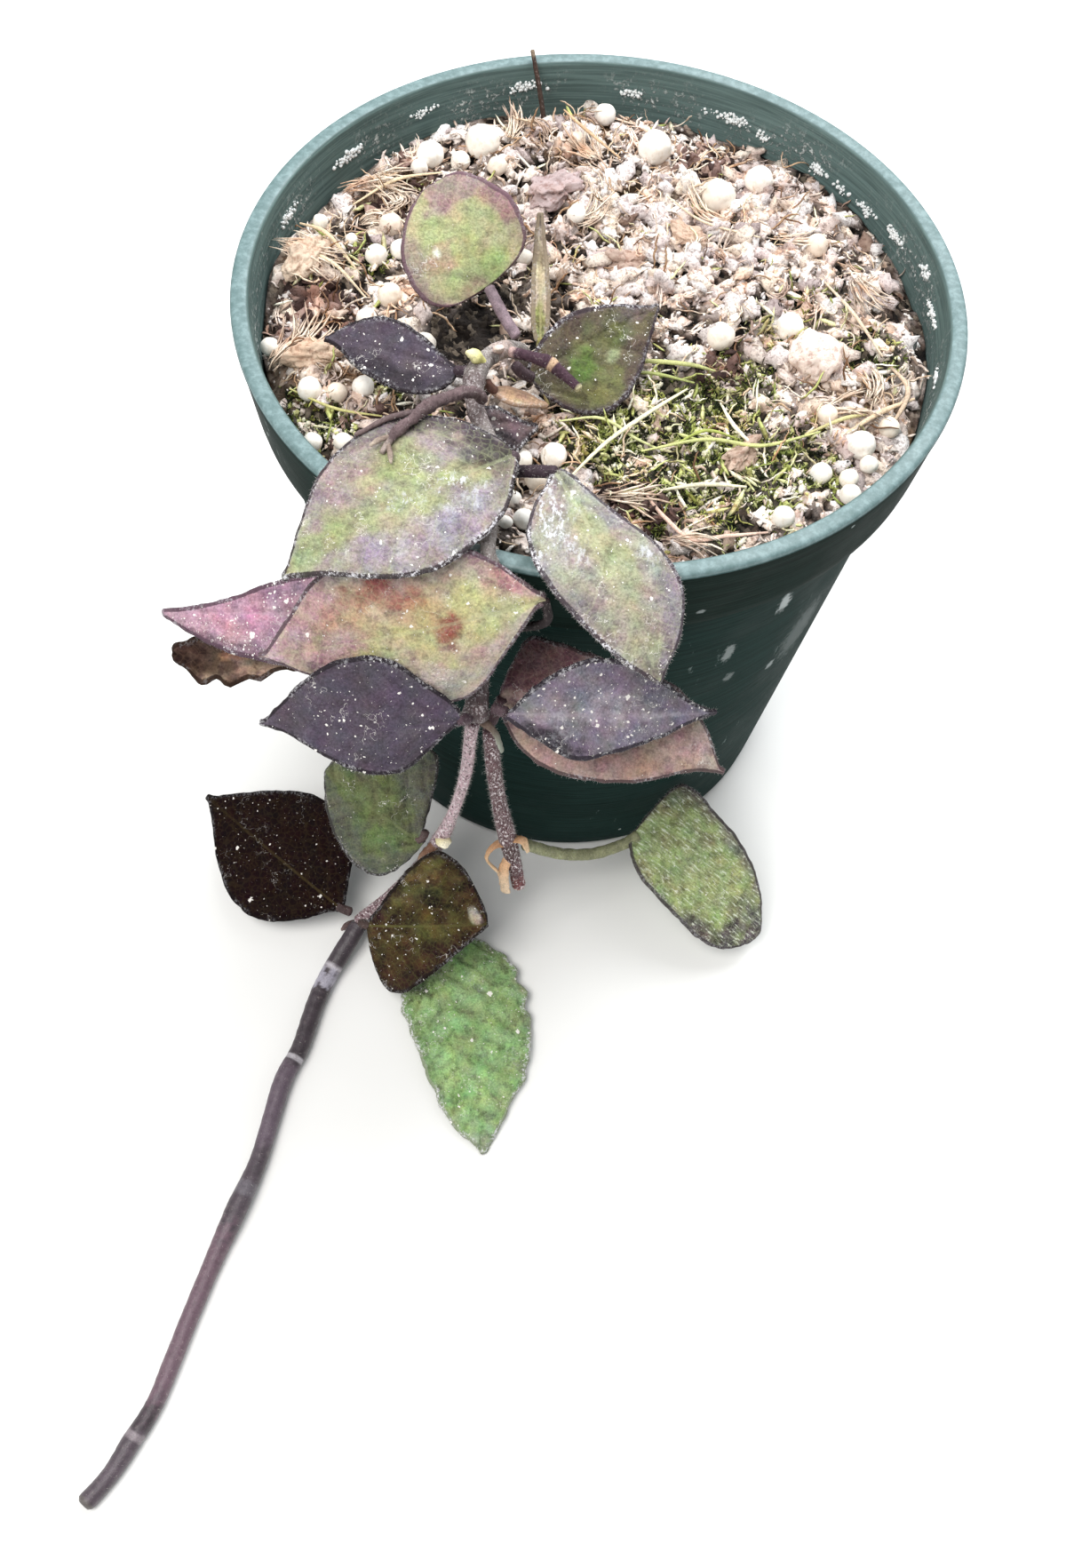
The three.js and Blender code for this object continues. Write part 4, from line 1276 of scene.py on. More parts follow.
def blob(seed: int, subdivisions: int, rough: float, squash: Point = (1, 1, 1), lump: float = 1.0) -> Form:
    """A lumpy round shape of radius 1.

    Args:
        seed: picks the lumps.
        subdivisions: fineness of the ball it starts from.
        rough: how far the lumps stand out.
        squash: its size along x, y and z.
        lump: the size of one lump, as a share of the radius.

    Returns:
        The shape's form, round the origin.
    """
    shape = bmesh.new()
    bmesh.ops.create_icosphere(shape, subdivisions=subdivisions, radius=1.0)
    for vertex in shape.verts:
        swell = 1 + rough * noise.fractal(vertex.co / lump + Vector((seed * 7.3, 1.7, 0)), 1.0, 2.0, 3)
        vertex.co = Vector(c * size * swell for c, size in zip(vertex.co, squash))
    return from_bmesh(shape)


def strand(seed: int, length: float, width: float, curl: float, steps: int, flat: float, rise: float,
           bend: float = 0.0) -> Form:
    """A wandering thread with three sides and few faces, thinner at its ends.

    Args:
        seed: picks its way.
        length: its length in mm.
        width: its half width in mm.
        curl: how sharply it wanders.
        steps: how many pieces it is bent into.
        flat: the height of its section as a share of its width.
        rise: how steeply it sets out, in radians.
        bend: how far it turns to one side at each piece, in radians.

    Returns:
        The thread's form, starting at the origin.
    """
    draw = random.Random(seed)
    heading, climb = draw.uniform(-0.3, 0.3), rise
    place = np.zeros(3)
    points: list[Array] = []
    for k in range(steps):
        reach = width * (0.5 + 0.6 * math.sin(math.pi * k / steps))
        aside = np.array((-math.sin(heading), math.cos(heading), 0)) * reach
        up = np.array((0, 0, reach * flat))
        points += [place + aside - 0.5 * up, place - aside - 0.5 * up, place + up]
        heading += draw.uniform(-curl, curl) + bend
        climb += draw.uniform(-curl, curl) * 0.5 - 0.12 * climb
        place = place + np.array((math.cos(climb) * math.cos(heading), math.cos(climb) * math.sin(heading),
                                  math.sin(climb))) * length / steps
    points.append(place)
    turns = [(0, 1), (1, 2), (2, 0)]
    faces: list[tuple[int, ...]] = [(0, 1, 2)]
    faces += [(a + i, a + 3 + i, a + 3 + j, a + j) for a in range(0, 3 * steps - 3, 3) for i, j in turns]
    faces += [(3 * steps - 3 + i, 3 * steps, 3 * steps - 3 + j) for i, j in turns]
    return Form(np.array(points), faces, [0] * len(faces))


def wad(seed: int, blades: int, longest: float, width: float, spread: float, bend: float) -> Form:
    """A wad of coir or dry moss: threads that run side by side.

    Args:
        seed: picks the threads.
        blades: how many there are.
        longest: the longest thread in mm.
        width: a thread's half width in mm.
        spread: how far to each side they lie, in mm.
        bend: how far they turn together at each piece, in radians.

    Returns:
        The wad's form, round the origin.
    """
    draw = random.Random(seed)
    forms = []
    for _ in range(blades):
        thread = strand(draw.randrange(9999), longest * draw.uniform(0.6, 1.0), width * draw.uniform(0.5, 1.3),
                        0.22, 6, 0.5, 0.12, bend)
        away = (draw.uniform(-0.6, -0.3) * longest, draw.uniform(-spread, spread), draw.uniform(0.0, 0.6) * spread)
        thread.points = thread.points + np.array(away)
        forms.append(thread)
    return Form.joined(forms)


def tuft(seed: int, blades: int, longest: float, width: float, curl: float) -> Form:
    """A tuft of moss or a shredded clump: short bent blades that spread from one foot.

    Args:
        seed: picks the blades.
        blades: how many there are.
        longest: the longest blade in mm.
        width: a blade's half width in mm.
        curl: how sharply a blade wanders.

    Returns:
        The tuft's form, with its foot at the origin.
    """
    draw = random.Random(seed)
    forms = []
    for _ in range(blades):
        long = draw.uniform(0.45, 1.0) * longest
        blade = strand(draw.randrange(9999), long, width * draw.uniform(0.6, 1.2), curl, 3, 0.45,
                       draw.uniform(0.1, 1.3))
        blade.points = turned(blade.points, draw.uniform(0, 2 * math.pi))
        forms.append(blade)
    return Form.joined(forms)


def crumb(seed: int) -> Form:
    """A crumb of dry matter: three small lumps grown together.

    Args:
        seed: picks the lumps.

    Returns:
        The crumb's form, round the origin.
    """
    draw = random.Random(seed)
    forms = []
    for k in range(3):
        lump = blob(seed * 9 + k, 1, 0.6, (1.2, 0.8, 0.7), 0.7)
        away = np.array([draw.uniform(-0.5, 0.5) for _ in range(3)])
        lump.points = lump.points * draw.uniform(0.4, 0.65) + away * (1, 1, 0.5)
        forms.append(lump)
    return Form.joined(forms)


def turned(points: Array, angle: float) -> Array:
    """The points, turned about the z axis by an angle in radians."""
    return points @ np.array(Matrix.Rotation(angle, 3, "Z")).T


def from_bmesh(shape: bmesh.types.BMesh) -> Form:
    """Turn a bmesh into a form.

    Args:
        shape: the bmesh, which is freed.

    Returns:
        The same points and faces.
    """
    shape.verts.ensure_lookup_table()
    points = np.array([v.co[:] for v in shape.verts])
    faces = [tuple(v.index for v in face.verts) for face in shape.faces]
    shape.free()
    return Form(points, faces, [0] * len(faces))


@dataclass
class Scatter:
    """Copies of a few small shapes, strewn over a surface by a geometry node tree."""

    name: str
    shapes: Sequence[Form]
    density: float  # for each square mm where the mask is 1
    smallest: float
    largest: float
    mask: str
    material: Material
    tilt: float = 0.6
    seed: int = 1

    def tree(self) -> tuple[bpy.types.NodeTree, dict[str, str]]:
        """Build the node tree.

        Returns:
            The tree and the identifier of each named input.
        """
        tree = bpy.data.node_groups.new(f"strew {self.name}", "GeometryNodeTree")
        tree.is_modifier = True
        kinds = {"Surface": "Geometry", "Shapes": "Collection", "Finish": "Material", "Density": "Float",
                 "Smallest": "Float", "Largest": "Float", "Tilt": "Float", "Seed": "Int"}
        keys = {
            label: tree.interface.new_socket(label, in_out="INPUT", socket_type=f"NodeSocket{kind}").identifier
            for label, kind in kinds.items()
        }
        tree.interface.new_socket("Strewn", in_out="OUTPUT", socket_type="NodeSocketGeometry")

        def add(kind: str, inputs: dict[str | int, object], **settings: str) -> bpy.types.NodeOutputs:
            """Add one node.

            Args:
                kind: its kind, by its name in Blender.
                inputs: for each socket, by name or number, an output to link or a value to set.
                settings: the node's own settings.

            Returns:
                Its outputs.
            """
            node = tree.nodes.new(kind)
            for name, setting in settings.items():
                setattr(node, name, setting)
            for key, value in inputs.items():
                named = [socket for socket in node.inputs if socket.name == key and socket.enabled]
                socket = named[0] if named else node.inputs[key]
                if isinstance(value, Socket):
                    tree.links.new(value, socket)
                else:
                    socket.default_value = value
            return node.outputs

        given = add("NodeGroupInput", {})
        mask = add("GeometryNodeInputNamedAttribute", {"Name": self.mask}, data_type="FLOAT")
        share = add("ShaderNodeMath", {0: given["Density"], 1: mask["Attribute"]}, operation="MULTIPLY")
        places = add("GeometryNodeDistributePointsOnFaces",
                     {"Mesh": given["Surface"], "Density": share[0], "Seed": given["Seed"]})
        limits = []
        for sign in (-1, 1):
            tilt = add("ShaderNodeMath", {0: given["Tilt"], 1: sign}, operation="MULTIPLY")[0]
            limits.append(add("ShaderNodeCombineXYZ", {"X": tilt, "Y": tilt, "Z": sign * math.pi})[0])
        lean = add("FunctionNodeRandomValue", dict(enumerate(limits)), data_type="FLOAT_VECTOR")
        turn = add("FunctionNodeEulerToRotation", {0: lean[0]})
        rotate = add("FunctionNodeRotateRotation", {0: places["Rotation"], 1: turn[0]}, rotation_space="LOCAL")
        size = add("FunctionNodeRandomValue", {2: given["Smallest"], 3: given["Largest"], "Seed": given["Seed"]},
                   data_type="FLOAT")
        shapes = add("GeometryNodeCollectionInfo",
                     {"Collection": given["Shapes"], "Separate Children": True, "Reset Children": True})
        copies = add("GeometryNodeInstanceOnPoints", {
            "Points": places["Points"], "Instance": shapes[0], "Pick Instance": True, "Rotation": rotate[0],
            "Scale": size[1]})
        tone = add("FunctionNodeRandomValue", {"Seed": self.seed + TONE_SEED}, data_type="FLOAT")
        store = add("GeometryNodeStoreNamedAttribute", {
            "Geometry": copies[0], "Name": "tone", "Value": tone[1]}, data_type="FLOAT", domain="INSTANCE")
        real = add("GeometryNodeRealizeInstances", {"Geometry": store[0]})
        dress = add("GeometryNodeSetMaterial", {"Geometry": real[0], "Material": given["Finish"]})
        add("NodeGroupOutput", {"Strewn": dress[0]})
        return tree, keys

    def over(self, surface: Piece, slot: str) -> Piece:
        """Strew the shapes over a surface.

        Args:
            surface: the object that they lie on; it is left as it is.
            slot: not used; it is only passed on to seat.

        Returns:
            The new piece.
        """
        palette = bpy.data.collections.new(f"{self.name} shapes")
        bpy.context.scene.collection.children.link(palette)
        for k, form in enumerate(self.shapes):
            sample = form.make(f"{self.name}_shape_{k}", [])
            bpy.context.collection.objects.unlink(sample)
            palette.objects.link(sample)
        tree, keys = self.tree()
        obj = bpy.data.objects.new(self.name, surface.data.copy())
        bpy.context.collection.objects.link(obj)
        modifier = obj.modifiers.new("strew", "NODES")
        modifier.node_group = tree
        given = {"Shapes": palette, "Finish": self.material, "Density": self.density / METRES ** 2,
                 "Smallest": self.smallest, "Largest": self.largest, "Tilt": self.tilt, "Seed": self.seed}
        for label, value in given.items():
            modifier[keys[label]] = value
        plain_mesh(obj)
        for sample in list(palette.objects):
            bpy.data.objects.remove(sample)
        bpy.data.collections.remove(palette)
        values = obj.data.attributes
        for name in [value.name for value in values if not value.is_required]:
            if name not in KEPT_VALUES and not name.startswith("."):
                values.remove(values[name])
        seat(obj, slot)
        return obj


# ---- pot


@dataclass
class Pot:
    """The pot: a turned shell with a wide collar, a rounded lip and drain holes."""

    height: float = 102
    base_radius: float = 40.5
    wall_radius: float = 49.6
    collar_height: float = 14
    collar_foot: float = 52.4
    lip_radius: float = 54
    lip_inner: float = 51.3
    wall: float = 1.3
    floor: float = 1.8
    drain_holes: int = 8
    drain_radius: float = 3.5
    drain_circle: float = 27
    segments: int = 160
    pole: float = 0.02  # radius of the small ring that closes a pole
    foot_round: float = 1.3
    wall_steps: int = 30
    lip_steps: int = 16
    lip_squareness: float = 0.6
    salts_level: float = 96.4
    salts_band: tuple[float, float] = (94.0, 99.6)

    def outline(self) -> list[tuple[float, float, str]]:
        """The section from the middle of the underside, outside, over the lip and in again.

        Returns:
            Radius, height and region of each point.
        """
        ledge = self.height - self.collar_height
        points: list[tuple[float, float, str]] = [(self.pole, 0.0, "wall"), (8, 0.0, "wall"), (18, 0.0, "wall")]
        points += [(self.base_radius - 1.6, 0.0, "wall"), (self.base_radius - 0.5, 0.4, "wall")]
        points.append((self.base_radius + 0.05, self.foot_round, "wall"))
        for k in range(1, self.wall_steps):
            z = self.foot_round + k / self.wall_steps * (ledge - 2 - self.foot_round)
            points.append((self.base_radius + (self.wall_radius - self.base_radius) * z / (ledge - 1), z, "wall"))
        points += [(self.wall_radius - 0.05, ledge - 1.4, "wall"), (self.wall_radius + 0.25, ledge - 0.8, "wall")]
        points += [(self.collar_foot - 0.6, ledge - 0.25, "collar"), (self.collar_foot - 0.05, ledge + 0.3, "collar")]
        for k in range(1, 8):
            z = ledge + 0.3 + k / 8 * (self.collar_height - 2.2)
            share = (z - ledge) / self.collar_height
            points.append((self.collar_foot + (self.lip_radius - self.collar_foot) * share, z, "collar"))
        middle = (self.lip_radius + self.lip_inner) / 2
        half = (self.lip_radius - self.lip_inner) / 2
        for k in range(self.lip_steps + 1):
            angle = math.pi * k / self.lip_steps
            region = "collar" if k < 1 else "lip" if k < 12 else "inside"
            across = math.copysign(abs(math.cos(angle)) ** self.lip_squareness, math.cos(angle))
            z = self.height - 1.0 + math.sin(angle) ** self.lip_squareness
            points.append((middle + half * across, z, region))
        for k in range(1, 30):
            z = self.height - 1.6 - k * 0.55
            points.append((self.inner_radius(z), z, "inside"))
        for z in (78, 60, 40, 20, 6, self.floor + 0.4):
            points.append((self.inner_radius(z), z, "inside"))
        points += [(self.inner_radius(self.floor) - 1, self.floor, "inside"), (18, self.floor, "inside")]
        points.append((self.pole, self.floor, "inside"))
        return points

    def inner_radius(self, z: float) -> float:
        """The inner wall's radius at a height.

        Args:
            z: the height in mm.

        Returns:
            The radius in mm.
        """
        ledge = self.height - self.collar_height
        if z < ledge:
            share = (z - self.floor) / (ledge - self.floor)
            return self.base_radius - self.wall + share * (self.wall_radius - self.base_radius)
        return self.lip_inner - self.wall * (1 - (z - ledge) / self.collar_height)

    def shell(self) -> Form:
        """Turn the shell.

        Returns:
            Its form, with its regions and its salts as named values.
        """
        outline = self.outline()
        place = np.concatenate([level_ring(radius, z, self.segments) for radius, z, _ in outline])
        named = np.repeat([region for *_, region in outline], self.segments)
        finish = (named == "lip").astype(int).tolist()[:-self.segments]
        salts = np.exp(-((place[:, 2] - self.salts_level) / 2.6) ** 2) * (named == "inside")
        salts *= smooth_step(-0.35, 0.3, cloud(place, 9.0, 2, 31.0))
        values = {name: (named == name).astype(float) for name in ("collar", "lip", "inside")}
        faces = wall_faces(len(outline), self.segments)
        return Form(place, faces, finish + [0, 0], {**values, "salts": salts})

    def build(self) -> Piece:
        """Make the pot and cut its drain holes.

        Returns:
            The finished piece.
        """
        finishes = [PotSkin().material("pot plastic"), PotSkin(shine=0.7).material("pot lip")]
        obj = self.shell().make("pot_shell", finishes)
        cutters = []
        for k in range(self.drain_holes):
            angle = 2 * math.pi * (k + 0.5) / self.drain_holes
            foot = (self.drain_circle * math.cos(angle), self.drain_circle * math.sin(angle))
            drill = bmesh.new()
            bmesh.ops.create_cone(drill, segments=32, radius1=self.drain_radius, radius2=self.drain_radius,
                                  depth=4 * self.floor, cap_ends=True,
                                  matrix=Matrix.Translation((*foot, self.floor / 2)))
            cutters.append(from_bmesh(drill))
        cutter = Form.joined(cutters).make("drills", [])
        cut = obj.modifiers.new("drain", "BOOLEAN")
        cut.operation, cut.solver, cut.object = "DIFFERENCE", "EXACT", cutter
        plain_mesh(obj)
        bpy.data.objects.remove(cutter)
        seat(obj, "pot", "pot")
        return obj

    def crust(self) -> None:
        """Dried salts that stand in a few places on the inner wall just above the mix."""
        sides, off_wall = 240, 0.9985
        rows = np.linspace(*self.salts_band, 20)
        place = np.concatenate([level_ring(self.inner_radius(z) * off_wall, z, sides) for z in rows])
        faces = [(b, a, d, c) for a, b, c, d in wall_faces(len(rows), sides)[:-2]]
        turn = np.degrees(np.arctan2(place[:, 1], place[:, 0]))
        share = np.zeros(len(place))
        for angle, z, wide in SALTS:
            away = np.hypot((turn - angle) / wide, (place[:, 2] - z) / 0.9)
            share = np.maximum(share, 1 - smooth_step(0.3, 1.0, away + 0.5 * cloud(place, 1.6, 2, 41.0)))
        band = Form(place, faces, [0] * len(faces), {"salts": share})
        surface = band.make("salt_band", [])
        crumbs = [blob(k, 1, 0.5) for k in range(4)]
        skin = GrainSkin(((0.0, "e4eaea"), (1.0, "fbfdfd")), pit_shade=0.2, shade=(0.8, 0.8, 0.8), drift=0.0)
        strewn = Scatter("wall_salts", crumbs, 14.0, 0.06, 0.36, "salts", skin.material("dried salts"), 3.0, 5)
        strewn.over(surface, "pot")
        bpy.data.objects.remove(surface)


# ---- mix


class Ground(Enum):
    """What lies on top in a part of the mix; one kind is only painted shade."""

    MOSS = "moss"
    FIBRE = "fibre"
    BROWN = "brown"
    # painted shade: a near-black bare patch where the mix's hollows and gaps lie in shade
    DARK = "dark"
    PALE = "pale"


@dataclass
class Mix:
    """The mix that fills the pot: its bed, perlite, chunks, crumbs, fibres and moss."""

    pot: Pot
    waves: Sequence[tuple[float, float, float, float]]
    heaps: Sequence[tuple[float, float, float, float]]
    perlite: Sequence[tuple[float, float, float]]
    chunks: Sequence[tuple[float, ...]]  # place, three half sizes, turn in degrees and roughness
    spots: dict[Ground, Sequence[tuple[float, float, float, float]]]
    threads: Sequence[tuple[tuple[Point, ...], float, str]]
    wads: Sequence[tuple[float, float, float, float, int, float]]
    level: float = 95.2
    gap: float = 0.5
    floor_gap: float = 0.35
    clods: float = 1.2  # how far the coarse lumps of the top stand out, in mm
    crumbs: float = 0.6  # and the fine ones
    sunk: float = 1.5  # how much lower the mix lies along the wall, in mm
    rings: int = 130
    segments: int = 300

    def height(self, x: float, y: float) -> float:
        """The height of the mix without its grains.

        Args:
            x: the place across, in mm.
            y: the place away from the viewer, in mm.

        Returns:
            The height in mm.
        """
        z = self.level + sum(size * math.sin(kx * x + ky * y + phase) for size, kx, ky, phase in self.waves)
        for hx, hy, reach, tall in self.heaps:
            z += tall * math.exp(-((x - hx) ** 2 + (y - hy) ** 2) / (reach * reach))
        return z

    def share(self, place: Array, ground: Ground) -> Array:
        """How much of one kind of ground lies at each place.

        Args:
            place: the places, in mm.
            ground: the kind of ground.

        Returns:
            A share from 0 to 1 for each place.
        """
        stray = 0.35 * cloud(place, 6.0, 3, 20.0)
        total = np.zeros(len(place))
        for x, y, reach, strength in self.spots[ground]:
            away = np.hypot(place[:, 0] - x, place[:, 1] - y) / reach
            total = np.maximum(total, (1 - smooth_step(0.6, 1.15, away + stray)) * strength)
        return total

    def bed(self) -> Piece:
        """Make the plug of mix, with crumbs raised on its top and the ground's colours.

        Returns:
            The finished piece, with a named value for each kind of loose matter.
        """
        top_radius = self.pot.inner_radius(self.level + 1) - self.gap - 0.1
        floor = self.pot.floor + self.floor_gap
        ledge = self.pot.height - self.pot.collar_height
        wall = self.pot.inner_radius(ledge - 1.4) - self.gap
        side = ((0.05, floor), (24, floor), (self.pot.inner_radius(floor) - self.gap, floor), (wall, ledge - 1.4),
                (wall, ledge + 0.6), (top_radius - 0.6, ledge + 2))
        rings = [level_ring(radius, z, self.segments) for radius, z in side]
        for k in range(self.rings):
            ring = level_ring(max(top_radius * (1 - k / self.rings), 0.05), 0.0, self.segments)
            ring[:, 2] = [self.height(x, y) for x, y, _ in ring]
            rings.append(ring)
        place = np.concatenate(rings)
        is_top = np.arange(len(place)) >= len(side) * self.segments
        from_wall = top_radius - np.hypot(place[:, 0], place[:, 1])
        relief = self.clods * cloud(place, 3.2, 3, 2.0) + self.crumbs * cloud(place, 1.1, 3, 7.0)
        edge = smooth_step(0, 2.0, from_wall)
        sunk = self.sunk * smooth_step(6.0, 0.5, from_wall)
        place[:, 2] += np.where(is_top, relief * (0.35 + 0.65 * edge) - 0.35 - sunk, 0)
        moss, fibre, brown, dark, pale = (self.share(place, ground) for ground in Ground)
        colour = np.tile(np.array(paint("5c4a40")), (len(place), 1))
        for code, weight in (
            ("7c665c", pale * 0.7),
            ("dccfca", smooth_step(-0.1, 0.4, relief) * (0.35 + 0.65 * pale)),
            # painted shade: near-black in the hollows of the relief
            ("0d0908", smooth_step(0.15, -0.4, relief)),
            ("3a2620", brown * 0.8),
            ("1c2012", moss * 0.9),
            ("8a6a4c", fibre * 0.5),
            # painted shade: near-black where the shaded ground lies
            ("120d0a", dark * 0.95),
            ("33291f", (~is_top).astype(float)),
        ):
            colour = blend(colour, paint(code), weight)
        raised = smooth_step(-0.15, 0.2, relief)
        # no loose grains are strewn in the painted shade
        open_ground = edge * is_top * (1 - dark)
        inward = smooth_step(2.5, 6.5, from_wall)
        dry = open_ground * (1 - 0.8 * moss)
        values = {
            "tint": np.clip(colour, 0, 1),
            "crumbs": dry * (0.2 + 0.8 * pale) * (0.05 + 0.95 * raised),
            "dust": dry * (0.25 + 0.75 * pale) * (0.1 + 0.9 * raised),
            "shreds": dry * (1 - 0.6 * brown) * (0.1 + 0.9 * raised),
            "clumps": dry * np.clip(pale + fibre + 0.25, 0, 1),
            "brown": open_ground * brown,
            "moss": edge * is_top * moss,
            "fibre": dry * inward * (0.2 + 0.8 * np.maximum(fibre, brown * 0.6)),
            "threads": open_ground * inward * (0.12 + 0.88 * moss),
        }
        faces = wall_faces(len(rings), self.segments)
        obj = Form(place, faces, [0] * len(faces), values).make("mix_bed", [BedSkin().material("fine mix")])
        seat(obj, "soil", "soil")
        return obj

    def stones(self) -> None:
        """The perlite balls and the larger chunks, sunk in so that their tops show."""
        balls = []
        for k, (x, y, radius) in enumerate(self.perlite):
            ball = blob(k + 1, 4 if radius > 1.8 else 3, 0.09, (1, 1, 0.95), 0.8)
            ball.points = ball.points * radius + (x, y, self.height(x, y) + radius * 0.42)
            ball.values["tone"] = np.full(len(ball.points), (k * 0.618) % 1.0)
            balls.append(ball)
        skin = GrainSkin(((0.0, "f6f0e6"), (0.5, "fbf8f2"), (0.8, "f4e9da"), (1.0, "ecdccc")), 0.6, 0.08, 0.9,
                         0.35, (0.72, 0.62, 0.5), 0.15)
        seat(Form.joined(balls).make("perlite_balls", [skin.material("perlite")]), "soil")
        rocks = []
        for k, (x, y, a, b, c, turn, rough) in enumerate(self.chunks):
            rock = blob(k + 31, 5, rough, (a, b, c), 0.8)
            rock.points = turned(rock.points, math.radians(turn)) + (x, y, self.height(x, y) + c * 0.35)
            rock.values["tone"] = np.full(len(rock.points), k / len(self.chunks))
            rocks.append(rock)
        skin = GrainSkin(((0.0, "fbeadf"), (0.13, "b8a6a6"), (0.26, "d6c2ac"), (0.4, "cfb6a0"), (1.0, "b09c96")),
                         0.9, 0.5, 0.8, 0.7, (0.55, 0.4, 0.36), 0.3)
        seat(Form.joined(rocks).make("bark_and_stone", [skin.material("bark and stone")]), "soil")

    def loose(self, bed: Piece) -> None:
        """Strew everything loose over the bed.

        Args:
            bed: the bed, whose named values say where each kind lies.
        """
        pale = GrainSkin(((0.0, "c4b4b0"), (0.2, "f2e6e2"), (0.5, "fffefd"), (0.85, "fcece0"), (1.0, "e6cec2")),
                         pit_shade=0.5, shade=(0.5, 0.4, 0.4), drift=0.6)
        husk = GrainSkin(((0.0, "bfb0ae"), (0.2, "eee0dc"), (0.55, "fffcfa"), (0.8, "ffeeda"), (1.0, "e4d2d0")),
                         0.9, 0.7, 0.5, 0.7, (0.36, 0.3, 0.3), 0.5)
        buds = GrainSkin(((0.0, "8f9a4a"), (0.4, "d2d690"), (0.7, "f2f0cc"), (1.0, "fdfbf0")), 0.8, 0.3, 0.5, 0.6)
        shred = GrainSkin(((0.0, "8d7668"), (0.12, "d2bba9"), (0.4, "f6e9de"), (0.8, "fff9f5"), (1.0, "f2d3bc")),
                          0.85, 0.3, 0.6, 0.55)
        coir = GrainSkin(((0.0, "c9ab95"), (0.3, "ecd6c4"), (0.7, "fff4ea"), (1.0, "e9cdb4")), 0.85, 0.2, 0.5, 0.5)
        brown = GrainSkin(((0.0, "261a19"), (0.4, "54403c"), (0.7, "846c66"), (1.0, "c0a498")))
        straw = GrainSkin(((0.0, "7a5a42"), (0.3, "c9a988"), (0.6, "ecd9c0"), (1.0, "f7ecdc")), 0.8, 0.05, 0.6)
        green = GrainSkin(((0.0, "0e1209"), (0.4, "333f1c"), (0.65, "78863c"), (0.85, "b4bf6c"), (1.0, "e6eab8")),
                          0.75, 0.02, 0.5)
        wisp = GrainSkin(((0.0, "8a9850"), (0.3, "ccd488"), (0.6, "f6f4cc"), (1.0, "fffdf2")), 0.7, 0.03, 0.6)
        crumbs = [crumb(k) for k in range(10)]
        grit = [blob(k + 20, 1, 0.5) for k in range(6)]
        husks = [blob(k + 60, 2, 0.85, (1.25, 0.9, 0.6), 0.5) for k in range(8)]
        flakes = [blob(k + 40, 2, 0.8, (1.3, 0.8, 0.35)) for k in range(6)]
        shreds = [strand(k + 200, 2.0, 0.22, 0.9, 4, 0.35, 0.3) for k in range(8)]
        shreds += [blob(k + 90, 2, 1.1, (1.3, 0.8, 0.3), 0.45) for k in range(6)]
        wads = [wad(k + 300, 6, 5.5, 0.16, 0.7, 0.0) for k in range(5)]
        wads += [wad(k + 320, 5, 5.0, 0.15, 0.6, 0.5) for k in range(4)]
        fibres = [strand(k + 5, 5.0, 0.14, 0.75, 9, 0.6, 0.25) for k in range(10)]
        tufts = [tuft(k, 7, 1.5, 0.1, 0.5) for k in range(6)]
        wisps = [strand(k + 60, 3.6, 0.13, 0.6, 6, 0.7, 0.2) for k in range(6)]
        wisps += [strand(k + 80, 3.0, 0.28, 0.3, 4, 0.5, 0.2) for k in range(6)]
        layers = (
            Scatter("pale_crumbs", crumbs, 0.95, 0.35, 1.05, "crumbs", pale.material("pale crumbs"), 3.0, 2),
            Scatter("pale_grit", grit, 1.9, 0.12, 0.34, "dust", pale.material("pale grit"), 3.0, 3),
            Scatter("pale_husks", husks, 0.3, 0.7, 1.9, "crumbs", husk.material("pale husks"), 0.6, 17),
            Scatter("moss_crumbs", crumbs, 0.55, 0.3, 1.0, "moss", buds.material("moss crumbs"), 3.0, 18),
            Scatter("pale_shreds", shreds, 0.9, 0.4, 1.4, "shreds", shred.material("shreds"), 0.4, 12),
            Scatter("fibre_wads", wads, 0.035, 0.6, 1.2, "clumps", coir.material("fibre wads"), 0.3, 13),
            Scatter("bark_flakes", flakes, 0.5, 0.5, 1.4, "brown", brown.material("bark flakes"), 0.9, 4),
            Scatter("fibres", fibres, 0.6, 0.4, 1.4, "fibre", straw.material("fibres"), 0.5, 6),
            Scatter("moss_tufts", tufts, 1.1, 0.5, 1.3, "moss", green.material("moss"), 0.8, 8),
            Scatter("pale_wisps", wisps, 0.42, 0.5, 1.6, "threads", wisp.material("pale wisps"), 0.35, 9),
        )
        for layer in layers:
            layer.over(bed, "soil")

    def long_threads(self) -> None:
        """The long pale stalks and roots that lie on the mix."""
        forms = []
        for k, (way, width, colour) in enumerate(self.threads):
            stations = [(x, y, self.height(x, y) + lift, width * (0.3 if n in (0, len(way) - 1) else 0.6))
                        for n, (x, y, lift) in enumerate(way)]
            form = tube(stations, 8, 0.4, crumpled(0.12, 0.8, 2), 0.75)
            tint = np.array(paint(colour)) * (1 + 0.25 * cloud(form.points, 1.5, 3, k))[:, None]
            form.values["tint"] = np.clip(tint, 0, 1)
            forms.append(form)
        seat(Form.joined(forms).make("long_threads", [STALK_SKIN.material("stalks on the mix")]), "soil")

